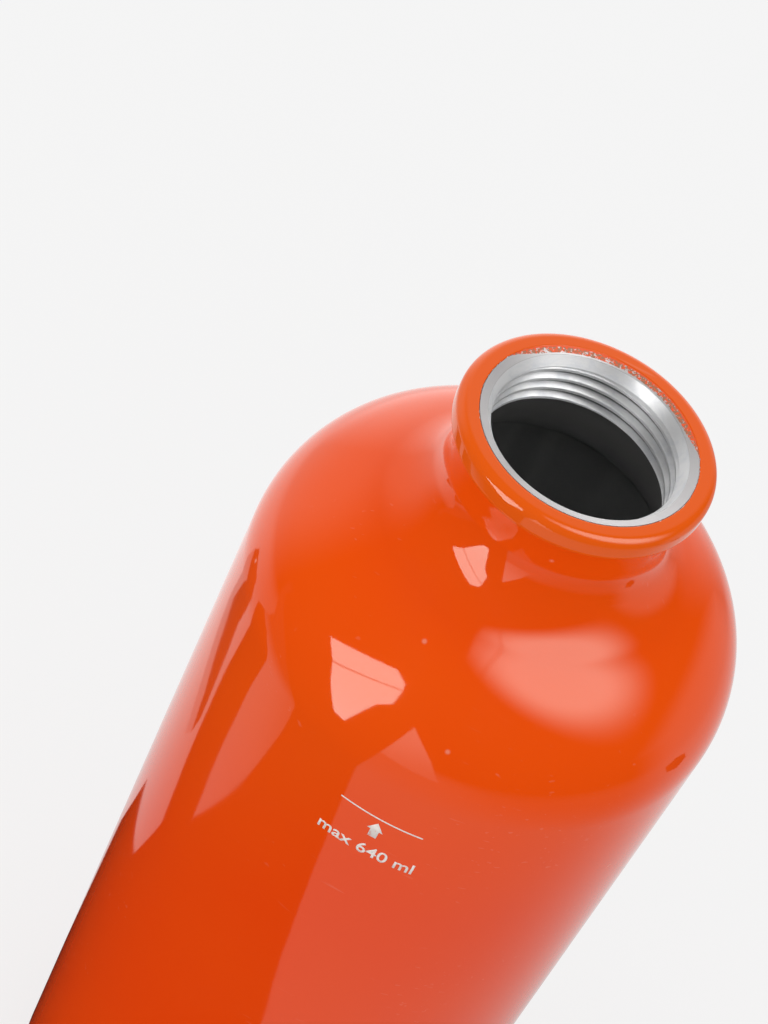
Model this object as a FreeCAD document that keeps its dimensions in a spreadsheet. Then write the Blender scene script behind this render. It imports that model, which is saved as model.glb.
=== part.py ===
"""Camping fuel bottle with its push-and-turn stopper taken off and stood beside it.

Millimetres, +Z up. The origin is the middle of the bottle's foot, on the table that it stands on.
-Y is the front, where the fill mark is printed, and the stopper stands on the +X side.
"""

import FreeCAD
import Part
import math
import os
import re

import Sketcher
from FreeCAD import Vector

FULL_TURN = 360.0

# Driving sizes. Radii and thicknesses are named as such, and everything else is a length.
SIZES = {
    # bottle shell
    "bottle_height": 203.4,
    "body_radius": 38.0,
    "wall": 1.2,
    "base_corner": 8.0,
    "base_foot_width": 3.0,
    "base_dome": 6.0,
    "shoulder_radius": 21.4,
    "neck_blend": 11.0,
    "neck_flare": 22.0,
    "neck_height": 7.11,
    "bead_overhang": 1.67,
    "bead_thickness": 4.2,
    "bead_round": 1.4,
    # threaded ring held in the mouth
    "thread_bore": 13.92,
    "ring_wall": 1.28,
    "ring_length": 8.8,
    "ring_lip": 1.0,
    "ring_lip_height": 2.0,
    "ring_fit": 0.02,
    "mouth_bevel": 1.0,
    # stopper: plug that screws into the ring
    "stopper_gap": 14.0,
    "plug_clearance": 0.15,
    "plug_length": 11.0,
    "plug_wall": 3.0,
    "plug_roof": 3.0,
    "flange_overhang": 2.2,
    "flange_thickness": 2.4,
    "boss_radius": 6.5,
    "boss_hollow": 4.2,
    # stopper: seal ring under the collar
    "seal_section": 1.3,
    "seal_fit": 0.05,
    "seal_cover": 0.3,
    # stopper: drive lugs, which mesh only when the cover is pushed
    "lug_count": 12.0,
    "lug_width": 2.6,
    "lug_depth": 2.6,
    "lug_height": 2.2,
    "lug_inset": 0.3,
    "lug_gap": 0.5,
    "push_travel": 2.0,
    # stopper: outer cover
    "cover_wall": 2.4,
    "cover_top": 2.4,
    "cover_height": 20.0,
    "cover_round": 2.0,
    "cover_clearance": 0.35,
    "cover_lift": 0.4,
    "flute_count": 30.0,
    "flute_radius": 1.5,
    "flute_depth": 0.7,
    "flute_margin": 3.0,
    # stopper: retaining ring, spring and thrust washer
    "retainer_thickness": 1.0,
    "retainer_bite": 0.9,
    "retainer_lip": 1.0,
    "retainer_fit": 0.05,
    "retainer_opening": 18.0,
    "spring_wire": 0.55,
    "spring_turns": 3.0,
    "spring_clearance": 0.4,
    "spring_seat": 0.05,
    "washer_thickness": 0.8,
    "washer_width": 4.0,
    "washer_play": 0.1,
}

# Sizes that follow from the driving ones, each from those above it.
WORKED = {
    # bottle shell
    "neck_inside": "thread_bore + ring_wall + ring_fit",
    "neck_radius": "neck_inside + wall",
    "neck_top": "neck_radius + neck_flare - sqrt(neck_flare ^ 2 - neck_height ^ 2)",
    "bead_radius": "neck_top + bead_overhang",
    "bead_level": "bottle_height - bead_thickness",
    "blend_level": "bead_level - neck_height",
    "blend_axis": "neck_radius + neck_blend",
    "shoulder_axis": "body_radius - shoulder_radius",
    "blend_sum": "shoulder_radius + neck_blend",
    "blend_run": "blend_axis - shoulder_axis",
    "blend_rise": "sqrt(blend_sum ^ 2 - blend_run ^ 2)",
    "shoulder_level": "blend_level - blend_rise",
    "corner_axis": "body_radius - base_corner",
    "dome_foot": "corner_axis - base_foot_width",
    "dome_radius": "(dome_foot ^ 2 + base_dome ^ 2) / (2 * base_dome)",
    "dome_foot_inside": "sqrt(dome_foot ^ 2 + 2 * base_dome * wall)",
    # threaded ring
    "ring_radius": "neck_inside - ring_fit",
    "ring_level": "bottle_height - ring_length",
    "lip_radius": "ring_radius + ring_lip",
    "lip_level": "bottle_height - ring_lip_height",
    # plug
    "plug_radius": "thread_bore - plug_clearance",
    "hollow_radius": "plug_radius - plug_wall",
    "seal_radius": "plug_radius + seal_fit + seal_section",
    "seal_level": "plug_length - seal_fit - seal_section",
    "collar_radius": "seal_radius + seal_section + seal_cover",
    "flange_radius": "collar_radius + flange_overhang",
    "cover_foot": "plug_length + push_travel + cover_lift",
    "retainer_level": "cover_foot + retainer_lip + retainer_fit",
    "flange_level": "retainer_level + retainer_thickness + retainer_fit",
    "flange_top": "flange_level + flange_thickness",
    "hollow_top": "flange_top - plug_roof",
    "lug_top": "flange_top + lug_height",
    # cover
    "cover_inside": "flange_radius + cover_clearance",
    "cover_radius": "cover_inside + cover_wall",
    "cover_summit": "cover_foot + cover_height",
    "ceiling": "cover_summit - cover_top",
    "rib_foot": "lug_top + lug_gap",
    "groove_radius": "cover_inside + retainer_bite",
    "groove_foot": "retainer_level - retainer_fit",
    "groove_top": "flange_level",
    "flute_axis": "cover_radius + flute_radius - flute_depth",
    "stopper_x": "body_radius + stopper_gap + cover_radius",
    # retaining ring, washer and spring
    "retainer_radius": "groove_radius - retainer_fit",
    "retainer_inside": "collar_radius + cover_clearance",
    "washer_level": "ceiling - washer_play - washer_thickness",
    "washer_inside": "boss_radius + spring_clearance",
    "boss_top": "washer_level - push_travel - spring_clearance",
    "spring_radius": "boss_radius + spring_clearance + spring_wire",
    "spring_foot": "flange_top + spring_wire + spring_seat",
    "spring_length": "washer_level - spring_wire - spring_seat - spring_foot",
}

doc = FreeCAD.newDocument("fuel_bottle")


# Sheets of sizes

def fill_sheet(name, cells):
    """A sheet with one row for each size: its name, and its value under that alias."""
    sheet = doc.addObject("Spreadsheet::Sheet", name)
    for row, (alias, content) in enumerate(cells.items(), start=1):
        sheet.set(f"A{row}", alias)
        sheet.set(f"B{row}", content)
        sheet.setAlias(f"B{row}", alias)
    return sheet


def bound(expression, inside=""):
    """The expression with the sheet's name put before each size, except in that sheet itself."""
    def with_sheet(found):
        word = found.group()
        owner = "Sizes" if word in SIZES else "Worked" if word in WORKED else inside
        return word if owner == inside else f"{owner}.{word}"
    return re.sub(r"[a-z_]{3,}", with_sheet, expression)


sizes = fill_sheet("Sizes", {name: str(value) for name, value in SIZES.items()})
worked = fill_sheet("Worked", {name: "=" + bound(rule, "Worked") for name, rule in WORKED.items()})
doc.recompute()


def value(expression):
    """The number that an expression in the sizes' names has now."""
    return float(sizes.evalExpression(bound(expression, "Sizes")))


def bind(item, target, expression):
    """Ties one property of an object to the sizes."""
    item.setExpression(target, bound(expression))


# Sketches

def new_body(label, on_stopper=False):
    """An empty body. The stopper's pieces share an axis that stands beside the bottle."""
    body = doc.addObject("PartDesign::Body", label)
    body.Label = label
    if on_stopper:
        bind(body, ".Placement.Base.x", "stopper_x")
    return body


def origin_feature(body, role):
    return next(item for item in body.Origin.OriginFeatures if item.Role == role)


def new_sketch(body, name, plane):
    sketch = body.newObject("Sketcher::SketchObject", name)
    sketch.AttachmentSupport = [(origin_feature(body, plane), "")]
    sketch.MapMode = "FlatFace"
    return sketch


def dimension(sketch, kind, expression, *places):
    """A driving dimension tied to the sizes. A point at zero is put on the axis instead."""
    if expression == "0":
        axis = -2 if kind == "DistanceX" else -1
        sketch.addConstraint(Sketcher.Constraint("PointOnObject", *places[-2:], axis))
        return
    index = sketch.addConstraint(Sketcher.Constraint(kind, *places, value(expression)))
    sketch.renameConstraint(index, f"size{index}")
    bind(sketch, f"Constraints.size{index}", expression)


def arc_between(start, end, radius, turns_left):
    """The short arc from start to end. Its own ends run anticlockwise, so they may be swapped."""
    chord = end - start
    across = Vector(-chord.y, chord.x, 0).normalize()
    reach = math.sqrt(radius ** 2 - (chord.Length / 2) ** 2)
    centre = (start + end) / 2 + across * (reach if turns_left else -reach)
    first, last = (start, end) if turns_left else (end, start)
    angles = [math.atan2(point.y - centre.y, point.x - centre.x) for point in (first, last)]
    return Part.ArcOfCircle(Part.Circle(centre, Vector(0, 0, 1), radius), *angles)


def outline(sketch, corners):
    """A closed outline. Each corner is (across, up) or (across, up, radius, "left" or "right"),
    where the last two give the arc that leaves the corner and the way that it turns."""
    points = [Vector(value(corner[0]), value(corner[1]), 0) for corner in corners]
    ends = []
    for index, corner in enumerate(corners):
        start, end = points[index], points[(index + 1) % len(points)]
        if len(corner) == 2:
            edge = sketch.addGeometry(Part.LineSegment(start, end), False)
            ends.append((edge, 1, 2))
        else:
            turns_left = corner[3] == "left"
            arc = arc_between(start, end, value(corner[2]), turns_left)
            edge = sketch.addGeometry(arc, False)
            ends.append((edge, 1, 2) if turns_left else (edge, 2, 1))
    for index, (edge, _, last) in enumerate(ends):
        following, first, _ = ends[(index + 1) % len(ends)]
        sketch.addConstraint(Sketcher.Constraint("Coincident", edge, last, following, first))
    for (edge, first, _), corner in zip(ends, corners):
        dimension(sketch, "DistanceX", corner[0], -1, 1, edge, first)
        dimension(sketch, "DistanceY", corner[1], -1, 1, edge, first)
        if len(corner) > 2:
            dimension(sketch, "Radius", corner[2], edge)


# Features

def turned(body, name, corners, kind="PartDesign::Revolution", angle=FULL_TURN):
    """A solid, or with a Groove a cut, made by turning an outline of (radius, height) about Z."""
    sketch = new_sketch(body, name + "_outline", "XZ_Plane")
    outline(sketch, corners)
    feature = body.newObject(kind, name)
    feature.Profile = sketch
    feature.ReferenceAxis = (sketch, ["V_Axis"])
    feature.Angle = angle
    doc.recompute()
    return feature


def raised_outline(body, name, level, corners):
    """A sketch that lies flat at the given level."""
    sketch = new_sketch(body, name + "_outline", "XY_Plane")
    outline(sketch, corners)
    bind(sketch, ".AttachmentOffset.Base.z", level)
    return sketch


def extruded(body, name, kind, sketch, length):
    """A Pad or Pocket that runs upwards from its sketch."""
    feature = body.newObject(kind, name)
    feature.Profile = sketch
    bind(feature, "Length", length)
    feature.Reversed = kind == "PartDesign::Pocket"
    doc.recompute()
    return feature


def repeated(body, name, feature, count):
    """The feature repeated evenly round Z."""
    pattern = body.newObject("PartDesign::PolarPattern", name)
    pattern.Originals = [feature]
    pattern.Axis = (origin_feature(body, "Z_Axis"), [""])
    pattern.Angle = FULL_TURN
    bind(pattern, "Occurrences", count)
    body.Tip = pattern
    doc.recompute()
    return pattern


# Bottle shell: one drawn vessel with a domed foot, round shoulder, waisted neck and rolled bead.
# The neck is narrowest at its waist, where two hollow arcs meet: one runs out into the shoulder, the
# other flares up to the bead.

def bottle_shell():
    body = new_body("bottle_shell")
    shoulder_share = "shoulder_radius / blend_sum"
    turned(body, "vessel", [
        ("0", "base_dome", "dome_radius", "right"),
        ("dome_foot", "0"),
        ("corner_axis", "0", "base_corner", "left"),
        ("body_radius", "base_corner"),
        ("body_radius", "shoulder_level", "shoulder_radius", "left"),
        (f"shoulder_axis + blend_run * {shoulder_share}",
         f"shoulder_level + blend_rise * {shoulder_share}", "neck_blend", "right"),
        ("neck_radius", "blend_level", "neck_flare", "right"),
        ("neck_top", "bead_level"),
        ("bead_radius - bead_round", "bead_level", "bead_round", "left"),
        ("bead_radius", "bead_level + bead_round"),
        ("bead_radius", "bottle_height - bead_round", "bead_round", "left"),
        ("bead_radius - bead_round", "bottle_height"),
        ("0", "bottle_height"),
    ])
    inside_share = "(shoulder_radius - wall) / blend_sum"
    turned(body, "cavity", [
        ("0", "base_dome + wall", "dome_radius + wall", "right"),
        ("dome_foot_inside", "wall"),
        ("corner_axis", "wall", "base_corner - wall", "left"),
        ("body_radius - wall", "base_corner"),
        ("body_radius - wall", "shoulder_level", "shoulder_radius - wall", "left"),
        (f"shoulder_axis + blend_run * {inside_share}",
         f"shoulder_level + blend_rise * {inside_share}", "neck_blend + wall", "right"),
        ("neck_inside", "blend_level"),
        ("neck_inside", "lip_level - ring_fit"),
        ("lip_radius + ring_fit", "lip_level - ring_fit"),
        ("lip_radius + ring_fit", "bottle_height"),
        ("0", "bottle_height"),
    ], kind="PartDesign::Groove")
    return body


# Threaded ring: bare metal insert in the mouth. Its lip lies in a step of the bead, and the bevel on
# top is the seat of the seal.

def thread_ring():
    body = new_body("thread_ring")
    turned(body, "insert", [
        ("thread_bore", "ring_level"),
        ("ring_radius", "ring_level"),
        ("ring_radius", "lip_level"),
        ("lip_radius", "lip_level"),
        ("lip_radius", "bottle_height"),
        ("thread_bore", "bottle_height - mouth_bevel"),
    ])
    return body


# Plug: hollow threaded shank, collar over the seal, and a flange that carries the drive lugs

def stopper_plug():
    body = new_body("stopper_plug", on_stopper=True)
    turned(body, "shank", [
        ("hollow_radius", "0"),
        ("plug_radius", "0"),
        ("plug_radius", "plug_length"),
        ("collar_radius", "plug_length"),
        ("collar_radius", "flange_level"),
        ("flange_radius", "flange_level"),
        ("flange_radius", "flange_top"),
        ("boss_radius", "flange_top"),
        ("boss_radius", "boss_top"),
        ("boss_hollow", "boss_top"),
        ("boss_hollow", "flange_top"),
        ("0", "flange_top"),
        ("0", "hollow_top"),
        ("hollow_radius", "hollow_top"),
    ])
    sketch = raised_outline(body, "lug", "flange_top", [
        ("flange_radius - lug_inset - lug_depth", "-lug_width / 2"),
        ("flange_radius - lug_inset", "-lug_width / 2"),
        ("flange_radius - lug_inset", "lug_width / 2"),
        ("flange_radius - lug_inset - lug_depth", "lug_width / 2"),
    ])
    lug = extruded(body, "lug", "PartDesign::Pad", sketch, "lug_height")
    repeated(body, "lugs", lug, "lug_count")
    return body


# Seal: rubber ring on the shank, under the collar

def stopper_seal():
    seal = doc.addObject("Part::Torus", "stopper_seal")
    seal.Label = "stopper_seal"
    bind(seal, "Radius1", "seal_radius")
    bind(seal, "Radius2", "seal_section")
    bind(seal, ".Placement.Base.x", "stopper_x")
    bind(seal, ".Placement.Base.z", "seal_level")
    return seal


# Cover: fluted cup with drive ribs inside, which stand over the gaps between the plug's lugs

def stopper_cover():
    body = new_body("stopper_cover", on_stopper=True)
    turned(body, "cup", [
        ("cover_inside", "cover_foot"),
        ("cover_radius", "cover_foot"),
        ("cover_radius", "cover_summit - cover_round", "cover_round", "left"),
        ("cover_radius - cover_round", "cover_summit"),
        ("0", "cover_summit"),
        ("0", "ceiling"),
        ("cover_inside", "ceiling"),
        ("cover_inside", "groove_top"),
        ("groove_radius", "groove_top"),
        ("groove_radius", "groove_foot"),
        ("cover_inside", "groove_foot"),
    ])
    sketch = raised_outline(body, "rib", "rib_foot", [
        ("flange_radius - lug_inset - lug_depth", "-lug_width / 2"),
        ("cover_inside + cover_wall / 2", "-lug_width / 2"),
        ("cover_inside + cover_wall / 2", "lug_width / 2"),
        ("flange_radius - lug_inset - lug_depth", "lug_width / 2"),
    ])
    bind(sketch, ".AttachmentOffset.Rotation.Angle", "180 / lug_count")
    rib = extruded(body, "rib", "PartDesign::Pad", sketch, "ceiling - rib_foot")
    repeated(body, "ribs", rib, "lug_count")
    sketch = new_sketch(body, "flute_outline", "XY_Plane")
    circle = Part.Circle(Vector(value("flute_axis"), 0, 0), Vector(0, 0, 1), value("flute_radius"))
    edge = sketch.addGeometry(circle, False)
    dimension(sketch, "DistanceX", "flute_axis", -1, 1, edge, 3)
    dimension(sketch, "DistanceY", "0", -1, 1, edge, 3)
    dimension(sketch, "Radius", "flute_radius", edge)
    bind(sketch, ".AttachmentOffset.Base.z", "cover_foot + flute_margin")
    flute = extruded(body, "flute", "PartDesign::Pocket", sketch, "cover_height")
    repeated(body, "flutes", flute, "flute_count")
    return body


# Retaining ring: split ring that snaps into the cover's groove, under the plug's flange

def stopper_retainer():
    body = new_body("stopper_retainer", on_stopper=True)
    ring = turned(body, "split_ring", [
        ("retainer_inside", "retainer_level"),
        ("retainer_radius", "retainer_level"),
        ("retainer_radius", "retainer_level + retainer_thickness"),
        ("retainer_inside", "retainer_level + retainer_thickness"),
    ])
    bind(ring, "Angle", "360 - retainer_opening")
    return body


# Thrust washer: lets the cover turn on the spring

def stopper_washer():
    body = new_body("stopper_washer", on_stopper=True)
    turned(body, "washer", [
        ("washer_inside", "washer_level"),
        ("washer_inside + washer_width", "washer_level"),
        ("washer_inside + washer_width", "washer_level + washer_thickness"),
        ("washer_inside", "washer_level + washer_thickness"),
    ])
    return body


# Spring: open coil round the plug's boss, from the flange up to the washer

def helix_place(turns, radius, pitch):
    """A point of the spring's line after that many turns, and the way that the line runs there."""
    angle = math.radians(FULL_TURN * turns)
    point = Vector(radius * math.cos(angle), radius * math.sin(angle), pitch * turns)
    way = Vector(-math.sin(angle), math.cos(angle), pitch / (2 * math.pi * radius))
    return point, way.normalize()


def tangent_arc(start, apex, end):
    """The arc from start to end whose end tangents meet at the apex."""
    middle = (start + end) / 2
    half_chord = (end - start).Length / 2
    bend = math.atan2((apex - middle).Length, half_chord)
    bulge = (apex - middle).normalize() * half_chord * math.tan(bend / 2)
    return Part.Arc(start, middle + bulge, end).toShape()


def biarc(first, last):
    """Two arcs that run from one place to another and share a tangent where they meet."""
    (start, leaving), (end, arriving) = first, last
    chord = end - start
    square = 2 * (1 - leaving.dot(arriving))
    linear = 2 * chord.dot(leaving + arriving)
    reach = (math.sqrt(linear ** 2 + 4 * square * chord.dot(chord)) - linear) / (2 * square)
    apexes = (start + leaving * reach, end - arriving * reach)
    meeting = (apexes[0] + apexes[1]) / 2
    return [tangent_arc(start, apexes[0], meeting), tangent_arc(meeting, apexes[1], end)]


def least_gap(line, wire, pitch):
    """The least clear gap between neighbouring turns, measured on points along the line."""
    points = line.discretize(Distance=wire)
    apart = [
        (near - far).Length
        for index, near in enumerate(points)
        for far in points[index + 1:]
        if abs(far.z - near.z) > pitch / 2
    ]
    return min(apart) - 2 * wire


def stopper_spring():
    radius, turns, wire = value("spring_radius"), value("spring_turns"), value("spring_wire")
    pitch = value("spring_length") / turns
    quarters = round(4 * turns)
    places = [helix_place(turns * step / quarters, radius, pitch) for step in range(quarters + 1)]
    line = Part.Wire([arc for pair in zip(places, places[1:]) for arc in biarc(*pair)])
    point, way = places[0]
    section = Part.Wire([Part.Circle(point, way, wire).toShape()])
    tube = Part.BRepOffsetAPI.MakePipeShell(line)
    tube.add(section)
    tube.build()
    tube.makeSolid()
    spring = doc.addObject("Part::Feature", "stopper_spring")
    spring.Label = "stopper_spring"
    spring.Shape = tube.shape()
    bind(spring, ".Placement.Base.x", "stopper_x")
    bind(spring, ".Placement.Base.z", "spring_foot")
    print(f"stopper_spring: least gap between turns {least_gap(line, wire, pitch):.2f} mm")
    return spring


# Build, test and write

pieces = [
    bottle_shell(),
    thread_ring(),
    stopper_plug(),
    stopper_seal(),
    stopper_spring(),
    stopper_washer(),
    stopper_cover(),
    stopper_retainer(),
]
doc.recompute()

failed = [item.Name for item in doc.Objects if {"Invalid", "Error"} & set(item.State)]
if failed:
    raise SystemExit(f"failed to build: {failed}")
for piece in pieces:
    if piece.Shape.isNull() or not piece.Shape.isValid() or not piece.Shape.Solids:
        raise SystemExit(f"{piece.Label} has no valid solid")

os.makedirs("parts", exist_ok=True)
for piece in pieces:
    piece.Shape.exportStep(f"parts/{piece.Label}.step")
    print(f"{piece.Label}: {len(piece.Shape.Solids)} solid, {piece.Shape.Volume:.1f} mm3")
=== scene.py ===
# %% [markdown]
# # A lacquered fuel bottle and its stopper
#
# The bottle is one vessel drawn from aluminium sheet: a domed foot, a straight wall, a round shoulder
# and a waisted neck that ends in a rolled bead. Orange lacquer covers the outside, the inside is dull,
# and a bare threaded ring sits in the mouth. A push-and-turn stopper stands beside it.
#
# The measured model comes first, as a frame that nothing here moves. Every size below is read from
# that frame, or is one of the few sizes that a box cannot give, such as the radius of the shoulder.

# %% The frame
import math

import bmesh
import bpy
from mathutils import Matrix, Vector


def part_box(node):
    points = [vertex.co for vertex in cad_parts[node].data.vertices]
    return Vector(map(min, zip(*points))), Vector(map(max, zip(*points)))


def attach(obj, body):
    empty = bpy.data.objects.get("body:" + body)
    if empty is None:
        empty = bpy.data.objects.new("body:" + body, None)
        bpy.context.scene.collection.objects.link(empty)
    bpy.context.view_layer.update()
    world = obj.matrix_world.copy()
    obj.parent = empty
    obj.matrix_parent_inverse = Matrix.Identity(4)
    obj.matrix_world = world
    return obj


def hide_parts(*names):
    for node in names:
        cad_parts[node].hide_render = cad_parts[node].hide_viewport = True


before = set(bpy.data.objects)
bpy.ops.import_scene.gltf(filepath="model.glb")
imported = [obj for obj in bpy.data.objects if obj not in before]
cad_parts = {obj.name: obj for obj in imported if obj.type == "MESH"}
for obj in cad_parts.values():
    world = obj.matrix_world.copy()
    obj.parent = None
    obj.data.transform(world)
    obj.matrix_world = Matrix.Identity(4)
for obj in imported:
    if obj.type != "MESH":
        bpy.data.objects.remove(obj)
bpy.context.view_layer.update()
MM = 0.001
print("nodes:", ", ".join(sorted(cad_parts)))

# %% [markdown]
# ## The camera
#
# The camera goes in first, because every later choice is judged through it. It hangs half a metre
# above the table, in front of the bottle, and it is rolled so that the bottle leans in the picture.
# A track constraint could aim it, but three vectors worked out from a place, an aim and a roll are
# easier to read and to correct.

# %% Camera
CAMERA_PLACE = Vector((-8.0, -277.5, 461.0)) * MM
CAMERA_AIM = Vector((-20.0, -16.3, 187.1)) * MM
CAMERA_ROLL = math.radians(26.45)
CAMERA_LENS = 96.2


def rolled_view(place, aim, roll):
    """The camera's matrix: it looks from place to aim, turned about that line by roll."""
    ahead = (aim - place).normalized()
    level = ahead.cross(Vector((0, 0, 1))).normalized()
    upright = level.cross(ahead)
    right = level * math.cos(roll) + upright * math.sin(roll)
    up = right.cross(ahead)
    turn = Matrix((right, up, -ahead)).transposed()
    return Matrix.Translation(place) @ turn.to_4x4()


camera_data = bpy.data.cameras.new("camera")
camera_data.lens = CAMERA_LENS
camera_data.clip_start = 10 * MM
camera = bpy.data.objects.new("camera", camera_data)
camera.matrix_world = rolled_view(CAMERA_PLACE, CAMERA_AIM, CAMERA_ROLL)
bpy.context.scene.collection.objects.link(camera)
bpy.context.scene.camera = camera
print(f"camera: {(CAMERA_AIM - CAMERA_PLACE).length / MM:.0f} mm from its aim")

# %% [markdown]
# ## Sizes
#
# A node's box gives its reach: the height of the rim, the radius of the body and of the ring, and
# the axis that the stopper's pieces share. The radii of the arcs are written out, because a box
# does not show them, and the rest follows from tangent circles.

# %% Sizes
shell_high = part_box("bottle_shell")[1]
ring_low, ring_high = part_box("thread_ring")
plug_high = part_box("stopper_plug")[1]
cover_low, cover_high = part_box("stopper_cover")
BODY_RADIUS = shell_high.x
RIM_LEVEL = shell_high.z
LIP_RADIUS = ring_high.x
RING_FOOT = ring_low.z
STOPPER_X = (cover_low.x + cover_high.x) / 2
COVER_RADIUS = cover_high.x - STOPPER_X
COVER_FOOT = cover_low.z
COVER_SUMMIT = cover_high.z

WALL = 1.2 * MM
RING_FIT = 0.02 * MM
RING_LIP = 1.0 * MM
RING_LIP_HEIGHT = 2.0 * MM
BASE_CORNER = 8.0 * MM
BASE_DOME = 6.0 * MM
BASE_FOOT_WIDTH = 3.0 * MM
SHOULDER_RADIUS = 21.4 * MM
NECK_BLEND = 11.0 * MM
NECK_FLARE = 22.0 * MM
NECK_HEIGHT = 7.11 * MM
BEAD_OVERHANG = 1.67 * MM
BEAD_THICKNESS = 4.2 * MM
BEAD_ROUND = 1.4 * MM
PAINT_EDGE = 0.15 * MM

RING_RADIUS = LIP_RADIUS - RING_LIP
LIP_LEVEL = RIM_LEVEL - RING_LIP_HEIGHT
LIP_INSIDE = LIP_RADIUS + RING_FIT
NECK_INSIDE = RING_RADIUS + RING_FIT
NECK_RADIUS = NECK_INSIDE + WALL
NECK_TOP = NECK_RADIUS + NECK_FLARE - math.sqrt(NECK_FLARE ** 2 - NECK_HEIGHT ** 2)
BEAD_RADIUS = NECK_TOP + BEAD_OVERHANG
BEAD_LEVEL = RIM_LEVEL - BEAD_THICKNESS
BLEND_LEVEL = BEAD_LEVEL - NECK_HEIGHT
BLEND_AXIS = NECK_RADIUS + NECK_BLEND
SHOULDER_AXIS = BODY_RADIUS - SHOULDER_RADIUS
BLEND_RUN = BLEND_AXIS - SHOULDER_AXIS
BLEND_RISE = math.sqrt((SHOULDER_RADIUS + NECK_BLEND) ** 2 - BLEND_RUN ** 2)
SHOULDER_LEVEL = BLEND_LEVEL - BLEND_RISE
TANGENT = math.degrees(math.atan2(BLEND_RISE, BLEND_RUN))
CORNER_AXIS = BODY_RADIUS - BASE_CORNER
DOME_FOOT = CORNER_AXIS - BASE_FOOT_WIDTH
DOME_RADIUS = (DOME_FOOT ** 2 + BASE_DOME ** 2) / (2 * BASE_DOME)
print(f"rim at {RIM_LEVEL / MM:.1f} mm, body radius {BODY_RADIUS / MM:.1f} mm")
print(f"the shoulder's round starts at {SHOULDER_LEVEL / MM:.2f} mm")

# %% [markdown]
# ## Helpers for node trees
#
# A node tree reads best as a list of steps, and small helpers keep it that way. One adds a node and
# feeds its sockets, and one is a Math node written like a function. Others take a vector apart, put one
# together and measure from an axis. The last makes a tree with named sockets. They serve Geometry Nodes
# and shader nodes alike.

# %% Node helpers
def feed(tree, socket, term):
    """Gives a socket a plain value, or links another node's output to it."""
    if isinstance(term, bpy.types.NodeSocket):
        tree.links.new(term, socket)
    else:
        socket.default_value = term


def add(tree, kind, inputs=None, **settings):
    """Adds one node, sets it up and feeds its inputs, which are named or numbered."""
    node = tree.nodes.new(kind)
    for name, setting in settings.items():
        setattr(node, name, setting)
    for place, term in (inputs or {}).items():
        feed(tree, node.inputs[place], term)
    return node


def calc(tree, operation, *terms):
    """One Math node. Its terms are numbers or other nodes' outputs."""
    node = add(tree, "ShaderNodeMath", dict(enumerate(terms)), operation=operation)
    return node.outputs[0]


def split(tree, vector):
    """The three parts of a vector."""
    return add(tree, "ShaderNodeSeparateXYZ", {0: vector}).outputs


def combined(tree, *parts):
    """A vector made from its parts. A part that is left out is zero."""
    return add(tree, "ShaderNodeCombineXYZ", dict(enumerate(parts))).outputs[0]


def off_axis(tree, across, along):
    """The distance from an axis, by how far a point lies across and along from it."""
    squares = [calc(tree, "POWER", part, 2.0) for part in (across, along)]
    return calc(tree, "SQRT", calc(tree, "ADD", *squares))


def new_tree(name, kind, inputs, outputs):
    """A tree with named sockets, and its sockets inside: what comes in and what goes out."""
    tree = bpy.data.node_groups.new(name, kind)
    for way, sockets in (("INPUT", inputs), ("OUTPUT", outputs)):
        for label, sort in sockets:
            tree.interface.new_socket(label, in_out=way, socket_type="NodeSocket" + sort)
    entry = tree.nodes.new("NodeGroupInput").outputs
    result = tree.nodes.new("NodeGroupOutput").inputs
    return tree, entry, result


# %% [markdown]
# ## Turning an outline
#
# Most of the pieces are turned: one outline, swept round an axis. The Screw modifier can do that, and
# so can a bmesh spin. Here a Geometry Nodes tree does it, because the same tree then also closes the
# seam, puts the piece on its axis and gives the inside another finish. The object's own mesh is the
# outline, a row of points in the XZ plane. A flat grid gets as many rows as the outline has points,
# and each row is bent into a circle of that point's radius, at that point's height.

# %% Lathe tree
WELD = 0.002 * MM


def finish_tree(tree, result, shape, finish, lining=None):
    """The end of every tree: real geometry, smooth faces, and its material."""
    shape = add(tree, "GeometryNodeRealizeInstances", {0: shape}).outputs[0]
    shape = add(tree, "GeometryNodeSetShadeSmooth", {0: shape}).outputs[0]
    shape = add(tree, "GeometryNodeSetMaterial", {"Geometry": shape, "Material": finish}).outputs[0]
    if lining:
        lined = add(tree, "GeometryNodeInputNamedAttribute", {"Name": "lined"}, data_type="BOOLEAN")
        inputs = {"Geometry": shape, "Selection": lined.outputs[0], "Material": lining}
        shape = add(tree, "GeometryNodeSetMaterial", inputs).outputs[0]
    tree.links.new(shape, result[0])


def bent_round(tree, flat, turn, radius, height, axis):
    """Moves a grid's points to a radius and height on an axis, and welds the seam."""
    across = calc(tree, "MULTIPLY_ADD", radius, calc(tree, "COSINE", turn), axis)
    along = calc(tree, "MULTIPLY", radius, calc(tree, "SINE", turn))
    place = combined(tree, across, along, height)
    moved = add(tree, "GeometryNodeSetPosition", {"Geometry": flat, "Position": place}).outputs[0]
    return add(tree, "GeometryNodeMergeByDistance", {"Geometry": moved, "Distance": WELD}).outputs[0]


def grid_shares(tree):
    """How far across and along a one metre grid a point lies, from 0 to 1."""
    place = add(tree, "GeometryNodeInputPosition").outputs[0]
    parts = split(tree, place)
    return [calc(tree, "ADD", parts[axis], 0.5) for axis in (0, 1)]


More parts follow.
